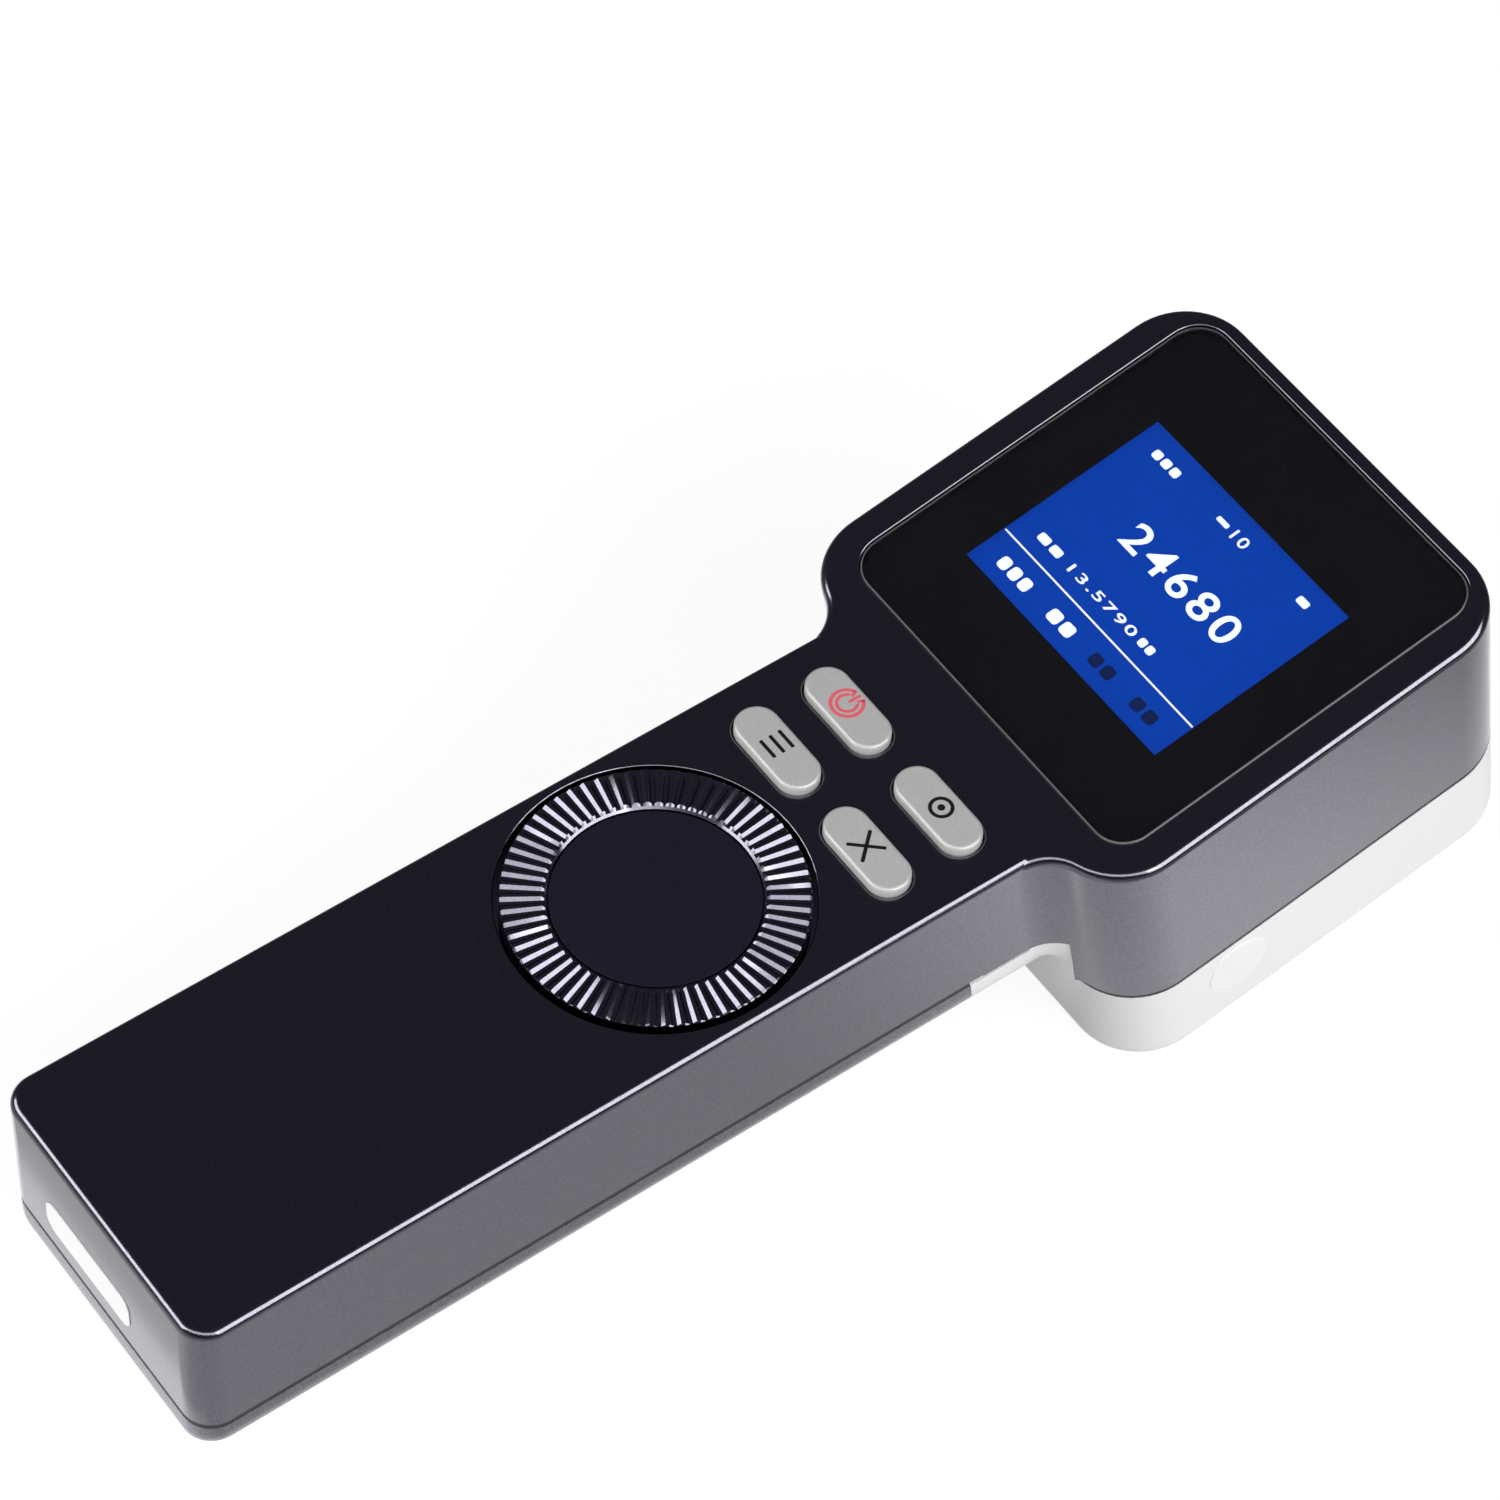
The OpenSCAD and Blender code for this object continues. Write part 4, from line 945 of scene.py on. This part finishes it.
# %% Window sheet and its black print
WINDOW_TOP = -0.15
EDGE_BAND = 0.35
WINDOW_BACK = -1.57
FRAME_PRINT_TOP = -1.59
FRAME_PRINT_BACK = -1.64
window = centred_block("window", WINDOW_WIDTH, WINDOW_LENGTH, WINDOW_BACK, WINDOW_TOP, WINDOW_CORNER)
bevel_edges(window, lambda edge: lies_at(edge, WINDOW_TOP), EDGE_BAND, 3)
smooth_flats(window)
dress(window, HEAD @ shift(0, WINDOW_MIDDLE), "display_window_sheet", "case", "window_black",
      window_acrylic, "display_window")
window.data.materials.append(window_edge)
inside = HEAD.inverted() @ window.matrix_world
for face in window.data.polygons:
    middle = inside @ face.center - Vector((0, WINDOW_MIDDLE, 0))
    past_x = max(abs(middle.x) - (WINDOW_WIDTH / 2 - WINDOW_CORNER), 0)
    past_y = max(abs(middle.y) - (WINDOW_LENGTH / 2 - WINDOW_CORNER), 0)
    from_edge = WINDOW_CORNER - math.hypot(past_x, past_y)
    if from_edge < EDGE_BAND:
        face.material_index = 1
frame_print = centred_block("frame_print", WINDOW_WIDTH, WINDOW_LENGTH, FRAME_PRINT_BACK,
                            FRAME_PRINT_TOP, WINDOW_CORNER)
lay_down(frame_print, shift(0, WINDOW_MIDDLE))
screen = add_block("screen", (-SCREEN_WIDTH / 2, SCREEN_START, -3),
                   (SCREEN_WIDTH / 2, SCREEN_START + SCREEN_LENGTH, 0))
cut_with(frame_print, [screen])
dress(frame_print, HEAD, "display_window_print", "case", "window_black", print_black)

# %% Lit panel
PANEL_TOP = -2.5
PANEL_BACK = -2.59
PANEL_MARGIN = 0.5
panel = centred_block("panel", SCREEN_WIDTH + 2 * PANEL_MARGIN, SCREEN_LENGTH + 2 * PANEL_MARGIN,
                      PANEL_BACK, PANEL_TOP, 0.4, 3)
dress(panel, HEAD @ shift(0, SCREEN_MIDDLE), "display_lit_panel", "case", "screen_blue", panel_blue)

# %% Numbers and bars on the panel
NUMBER_BASE = PANEL_TOP + 0.02
MARK_TOP = PANEL_TOP + 0.03


def add_number(digits, low, high):
    """A number made a mesh and fitted between two corners of the panel."""
    clear_selection()
    bpy.ops.object.text_add(location=(0, 0, 0))
    number = bpy.context.object
    number.data.body = digits
    number.data.extrude = 0.01
    number.data.offset = 0.012
    number.data.space_character = 1.2
    bpy.ops.object.convert(target="MESH")
    number = bpy.context.object
    corners = [corner.co for corner in number.data.vertices]
    left, bottom = min(co.x for co in corners), min(co.y for co in corners)
    width = max(co.x for co in corners) - left
    height = max(co.y for co in corners) - bottom
    fit = Matrix.Diagonal(((high[0] - low[0]) / width, (high[1] - low[1]) / height, 1, 1))
    lay_down(number, shift(low[0], low[1], NUMBER_BASE) @ fit @ shift(-left, -bottom))
    return number


def bars(left, right, low, high, count):
    """Short bars side by side between two corners of the panel."""
    pitch = (right - left) / count
    return [flat_bar(left + (step + 0.5) * pitch, (low + high) / 2, 0.78 * pitch, high - low, MARK_TOP)
            for step in range(count)]


white_marks = [
    add_number("24680", (-11.4, 47.1), (15.2, 52.7)),
    add_number("13.5790", (-12.2, 37.4), (4.6, 39.2)),
    add_number("10", (-0.2, 61.2), (3.2, 63.3)),
    flat_bar(-0.4, 34.67, SCREEN_WIDTH - 0.4, 0.3, MARK_TOP),
    flat_bar(17.15, 62.5, 2.4, 1.4, MARK_TOP),
]
white_marks += bars(-21, -14.2, 61.4, 63.1, 3) + bars(-4.6, -1.2, 61.8, 62.7, 1)
white_marks += bars(-20.6, -14.4, 37.5, 39.1, 2) + bars(5.6, 9.4, 37.5, 39.1, 2)
white_marks += bars(-20.9, -12.9, 29.4, 31.8, 3) + bars(-8, -1.5, 29.4, 31.8, 2)
dim_marks = bars(2.8, 8.9, 29.4, 31.8, 2) + bars(13.5, 19.7, 29.4, 31.8, 2)
marks_and_inks = (("display_marks", white_marks, panel_white), ("display_dim_marks", dim_marks, panel_navy))
for name, drawn_marks, ink in marks_and_inks:
    dress(join(drawn_marks, name), HEAD, name, "case", "screen_blue", ink)

# %% [markdown]
# ## Cover screws
# Four small cross-head screws close the back. One head is a spun dome with a cross cut into it.

# %% Cross-head screws
SCREW_SEAT = 34.4
SCREW_HEAD_RADIUS = 1.8
SCREW_DOME = 1.6
SHANK_RADIUS = 1
SHANK_TIP = -14.4
CROSS_TURN = 0.4
screw_profile = [
    (0, SCREW_DOME), (0.9, SCREW_DOME - 0.06), (1.45, SCREW_DOME - 0.25),
    (SCREW_HEAD_RADIUS, SCREW_DOME - 0.75), (SCREW_HEAD_RADIUS, 0), (SHANK_RADIUS, 0),
    (SHANK_RADIUS, SHANK_TIP + 1), (0.6, SHANK_TIP), (0, SHANK_TIP),
]
screw = add_lathe("screw", screw_profile, 40)
slots = []
for turn in (CROSS_TURN, CROSS_TURN + math.pi / 2):
    slot = add_block("slot", (-1.0, -0.25, SCREW_DOME - 0.7), (1.0, 0.25, SCREW_DOME + 1))
    lay_down(slot, Matrix.Rotation(turn, 4, "Z"))
    slots.append(slot)
cut_with(screw, slots)
smooth(screw, 30)
screws = []
for side in (-1, 1):
    for number, place in enumerate(SCREW_PLACES):
        twin = copy_of(screw, "screw_copy")
        turn = Matrix.Rotation(side * 0.5 + number, 4, "Z")
        lay_down(twin, shift(side * SCREW_X, place, -SCREW_SEAT) @ Matrix.Rotation(math.pi, 4, "X") @ turn)
        screws.append(twin)
bpy.data.objects.remove(screw, do_unlink=True)
dress(join(screws, "screws"), HANDLE, "cover_cross_screws", "case", "screw_steel", screw_nickel,
      "cover_screws")

# %% [markdown]
# ## Lamp
# A brushed plate holds nine clear lenses. Each lens is a solid collimator: light from the diode enters
# a hollow at its foot, and the flared side mirrors it forward. A pocket in the front with scalloped
# walls gives the flower-like ring in the middle.

# %% Plate with nine holes
LENS_PITCH = 25.4
LENS_RADIUS = 9.8
LENS_FACE = 58.9
LAMP = HEAD @ shift(0, HEAD_MIDDLE, -LENS_FACE) @ Matrix.Rotation(math.pi, 4, "X")
PLATE_TOP = 0.3
PLATE_THICKNESS = 1.5
PLATE_INSET = 2.45
PLATE_EDGE = 0.25
HOLE_RADIUS = LENS_RADIUS + 0.2
plate = centred_block("plate", 2 * (HEAD_HALF - PLATE_INSET), HEAD_LENGTH - 2 * PLATE_INSET,
                      PLATE_TOP - PLATE_THICKNESS, PLATE_TOP, HEAD_CORNER - PLATE_INSET)
bevel_edges(plate, lambda edge: lies_at(edge, PLATE_TOP), PLATE_EDGE, 3)
lens_places = [(column * LENS_PITCH, -row * LENS_PITCH) for row in (-1, 0, 1) for column in (-1, 0, 1)]
holes = []
for x, y in lens_places:
    hole = opening_cutter(2 * HOLE_RADIUS, 2 * HOLE_RADIUS, HOLE_RADIUS - 0.01, 2 * PLATE_THICKNESS, 0.3, 18)
    lay_down(hole, shift(x, y, PLATE_TOP))
    holes.append(hole)
cut_with(plate, holes)
smooth_flats(plate)
dress(plate, LAMP, "lamp_brushed_plate", "case", "plate_aluminium", brushed_plate, "lamp_plate")

# %% One lens
LENS_DEPTH = 12.5
LENS_STEPS = 72
FOOT_RADIUS = 5.5
FLARE_STEPS = 8
FLARE_RADIUS = LENS_RADIUS - 0.3
FLARE_TOP = 1.6
flared_side = []
for step in range(FLARE_STEPS + 1):
    rise = step / FLARE_STEPS
    swell = math.sin(rise * math.pi / 2) ** 0.9
    flared_side.append((FOOT_RADIUS + (FLARE_RADIUS - FOOT_RADIUS) * swell,
                        -LENS_DEPTH + (LENS_DEPTH - FLARE_TOP) * rise))
lens_profile = [(0, -3.7), (1.2, -3.8), (2.3, -4.2), (3.2, -4.8), (3.9, -2.5), (4.3, -0.15), (4.5, 0)]
lens_profile += [(8.6, 0), (8.75, -0.2), (9.1, -0.2), (9.25, 0), (9.65, 0), (LENS_RADIUS, -0.15)]
lens_profile += [(LENS_RADIUS, -1.5)] + flared_side[::-1]
lens_profile += [(4, -LENS_DEPTH), (3.8, -8.4), (3.3, -7.4), (2.2, -6.8), (1.1, -6.5), (0, -6.4)]
lens_model = add_lathe("lens", lens_profile, LENS_STEPS)
PETAL_STEPS = 6
PETAL_SQUEEZE = 0.86
pick(lens_model, "VERT", lambda corner: step_of(corner, LENS_STEPS) % PETAL_STEPS in PRESSED_STEPS
     and 2.2 < corner.co.xy.length < 4.4 and corner.co.z > -5)
bpy.ops.transform.resize(value=(PETAL_SQUEEZE, PETAL_SQUEEZE, 1), center_override=(0, 0, 0))
done_editing()
smooth(lens_model, 28)

# %% Nine lenses
for number, (x, y) in enumerate(lens_places, start=1):
    lens = copy_of(lens_model, "lens_%d_optic" % number)
    dress(lens, LAMP @ shift(x, y), "lens_%d_optic" % number, "case", "lens_clear", lens_acrylic,
          "lens_%d" % number)
bpy.data.objects.remove(lens_model, do_unlink=True)

# %% [markdown]
# ## Side sockets
# Three small sockets look out of the handle's side. Each is a metal shroud, hollowed by an inset and an
# extrusion, with a tongue inside.

# %% Sockets
PORT_RECESS = 0.5
SHROUD_HALF = 3.5
SHROUD_RISE = 1.7
SHROUD_DEPTH = 8
SHROUD_WALL = 0.55
SHROUD_EDGE = 0.6
MOUTH_DEPTH = 5
TONGUE_HALF = 2
TONGUE_RISE = 0.35
socket_x = -HANDLE_HALF + PORT_RECESS
for name, place in zip(("charge_socket", "trigger_in_socket", "trigger_out_socket"), PORT_PLACES):
    shroud = add_block("shroud", (socket_x, place - SHROUD_HALF, -PORT_DEPTH - SHROUD_RISE),
                       (socket_x + SHROUD_DEPTH, place + SHROUD_HALF, -PORT_DEPTH + SHROUD_RISE))
    bevel_edges(shroud, lambda edge: abs(edge.verts[0].co.x - edge.verts[1].co.x) > 1, SHROUD_EDGE, 4)
    pick(shroud, "FACE", lambda face: face.normal.x < -0.9)
    bpy.ops.mesh.inset(thickness=SHROUD_WALL)
    extrude_by(MOUTH_DEPTH, 0, 0)
    done_editing()
    tongue = add_block("tongue", (socket_x + 0.7, place - TONGUE_HALF, -PORT_DEPTH - TONGUE_RISE),
                       (socket_x + MOUTH_DEPTH + 0.2, place + TONGUE_HALF, -PORT_DEPTH + TONGUE_RISE))
    bevel_edges(tongue, lambda edge: both_ends(edge, lambda co: co.x < socket_x + 1), 0.15, 2)
    smooth_flats(shroud)
    dress(shroud, HANDLE, name + "_shroud", "case", "socket_steel", socket_plating, name)
    dress(tongue, HANDLE, name + "_tongue", "case", "socket_steel", switch_plastic)

# %% [markdown]
# ## Floor, world and lamps
# A product shot on white. A softbox at the side, one at the handle's end and a long strip in front
# draw the bright lines along the rounded edges, and little light comes from above, so the dark front
# stays dark. Two low fill lamps light the pale pieces, and the lacquer doesn't mirror them. The floor
# adds a little light of its own for the camera, so that it looks white with a soft shadow.


# %% Node helpers for the floor
def ramp(tree, value, start, end, low, high):
    """Change smoothly from one value to another between two places."""
    span = tree.nodes.new("ShaderNodeMapRange")
    span.interpolation_type = "SMOOTHSTEP"
    set_inputs(span, {"From Min": start, "From Max": end, "To Min": low, "To Max": high})
    tree.links.new(value, span.inputs["Value"])
    return span.outputs["Result"]


def combine(tree, operation, first, second):
    node = tree.nodes.new("ShaderNodeMath")
    node.operation = operation
    for socket, value in zip(node.inputs, (first, second)):
        if isinstance(value, float):
            socket.default_value = value
        else:
            tree.links.new(value, socket)
    return node.outputs[0]


# %% Floor
FLOOR_SIZE = 1.6
FLOOR_DROP = 0.05 * METRES
clear_selection()
bpy.ops.mesh.primitive_plane_add(size=FLOOR_SIZE, location=(0, 0, -FLOOR_DROP))
floor = bpy.context.object
floor.name = "studio_floor"
floor_finish = bpy.data.materials.new("studio_floor")
floor_finish.use_nodes = True
tree = floor_finish.node_tree
tree.nodes.clear()
new_node, link = tree.nodes.new, tree.links.new
out = new_node("ShaderNodeOutputMaterial")
matte = new_node("ShaderNodeBsdfDiffuse")
set_inputs(matte, {"Color": (0.2, 0.2, 0.2, 1)})
glow = new_node("ShaderNodeEmission")
add = new_node("ShaderNodeAddShader")
link(matte.outputs[0], add.inputs[0])
link(glow.outputs[0], add.inputs[1])
link(add.outputs[0], out.inputs["Surface"])
floor.data.materials.append(floor_finish)

# %% The floor's glow: even for the camera, a small bright patch for the lacquer to mirror
CAMERA_GLOW = 0.88
PATCH_X = 0.13
PATCH_Y = 0.225
ray = new_node("ShaderNodeLightPath")
where = new_node("ShaderNodeNewGeometry")
axes = new_node("ShaderNodeSeparateXYZ")
link(where.outputs["Position"], axes.inputs["Vector"])
squeeze = new_node("ShaderNodeMapping")
set_inputs(squeeze, {"Scale": (1 / PATCH_X, 1 / PATCH_Y, 1)})
reach = new_node("ShaderNodeVectorMath")
reach.operation = "LENGTH"
link(where.outputs["Position"], squeeze.inputs["Vector"])
link(squeeze.outputs["Vector"], reach.inputs[0])
patch = ramp(tree, reach.outputs["Value"], 0.6, 1.3, 1.0, 0.05)
along = ramp(tree, axes.outputs["Y"], -0.01, 0.09, 0.42, 0.84)
end_light = ramp(tree, axes.outputs["X"], 0.015, 0.045, 1.0, 0.0)
end_top = ramp(tree, axes.outputs["Y"], -0.1312, -0.1275, 0.5, 1.0)
end_patch = combine(tree, "MULTIPLY", end_light, end_top)
level = combine(tree, "MULTIPLY", combine(tree, "MAXIMUM", along, end_patch), patch)
mirrored = combine(tree, "MAXIMUM", ray.outputs["Is Glossy Ray"], ray.outputs["Is Transmission Ray"])
strength = combine(tree, "MULTIPLY", level, mirrored)
camera_strength = combine(tree, "MULTIPLY", ray.outputs["Is Camera Ray"], CAMERA_GLOW)
link(combine(tree, "ADD", strength, camera_strength), glow.inputs["Strength"])

# %% World: white to the camera, a dim room to the object
ROOM_GLOW = 0.072
world = bpy.data.worlds.new("studio_room")
bpy.context.scene.world = world
world.use_nodes = True
tree = world.node_tree
tree.nodes.clear()
new_node, link = tree.nodes.new, tree.links.new
out = new_node("ShaderNodeOutputWorld")
ray = new_node("ShaderNodeLightPath")
white = new_node("ShaderNodeBackground")
set_inputs(white, {"Color": (1, 1, 1, 1)})
dim = new_node("ShaderNodeBackground")
set_inputs(dim, {"Color": (0.78, 0.72, 1, 1), "Strength": ROOM_GLOW})
choose = new_node("ShaderNodeMixShader")
link(ray.outputs["Is Camera Ray"], choose.inputs[0])
link(dim.outputs[0], choose.inputs[1])
link(white.outputs[0], choose.inputs[2])
link(choose.outputs[0], out.inputs["Surface"])


# %% Softboxes
def add_softbox(name, direction, distance, size, power, mirrored=True):
    lamp = bpy.data.lights.new(name, "AREA")
    lamp.shape = "RECTANGLE"
    lamp.size, lamp.size_y = size
    lamp.energy = power
    box = bpy.data.objects.new(name, lamp)
    bpy.context.scene.collection.objects.link(box)
    aim = Vector(direction).normalized()
    turn = aim.to_track_quat("Z", "Y").to_matrix().to_4x4()
    box.matrix_world = Matrix.Translation(aim * distance) @ turn
    box.visible_glossy = mirrored
    print(name, round(power / (math.pi * size[0] * size[1]), 2), "radiance")


add_softbox("side_softbox", (0.75, 0.27, 0.62), 1.0, (1.1, 0.64), 8.0)
add_softbox("end_softbox", (-0.50, -0.80, 0.44), 1.0, (0.9, 0.4), 4.1)
add_softbox("front_strip", (0.43, -0.59, 0.68), 1.3, (2.0, 0.45), 5.9)
add_softbox("end_fill", (-0.1, -0.97, 0.2), 1.0, (0.6, 0.4), 4.7, mirrored=False)
add_softbox("side_fill", (0.95, -0.1, 0.16), 1.0, (0.5, 0.4), 2.2, mirrored=False)
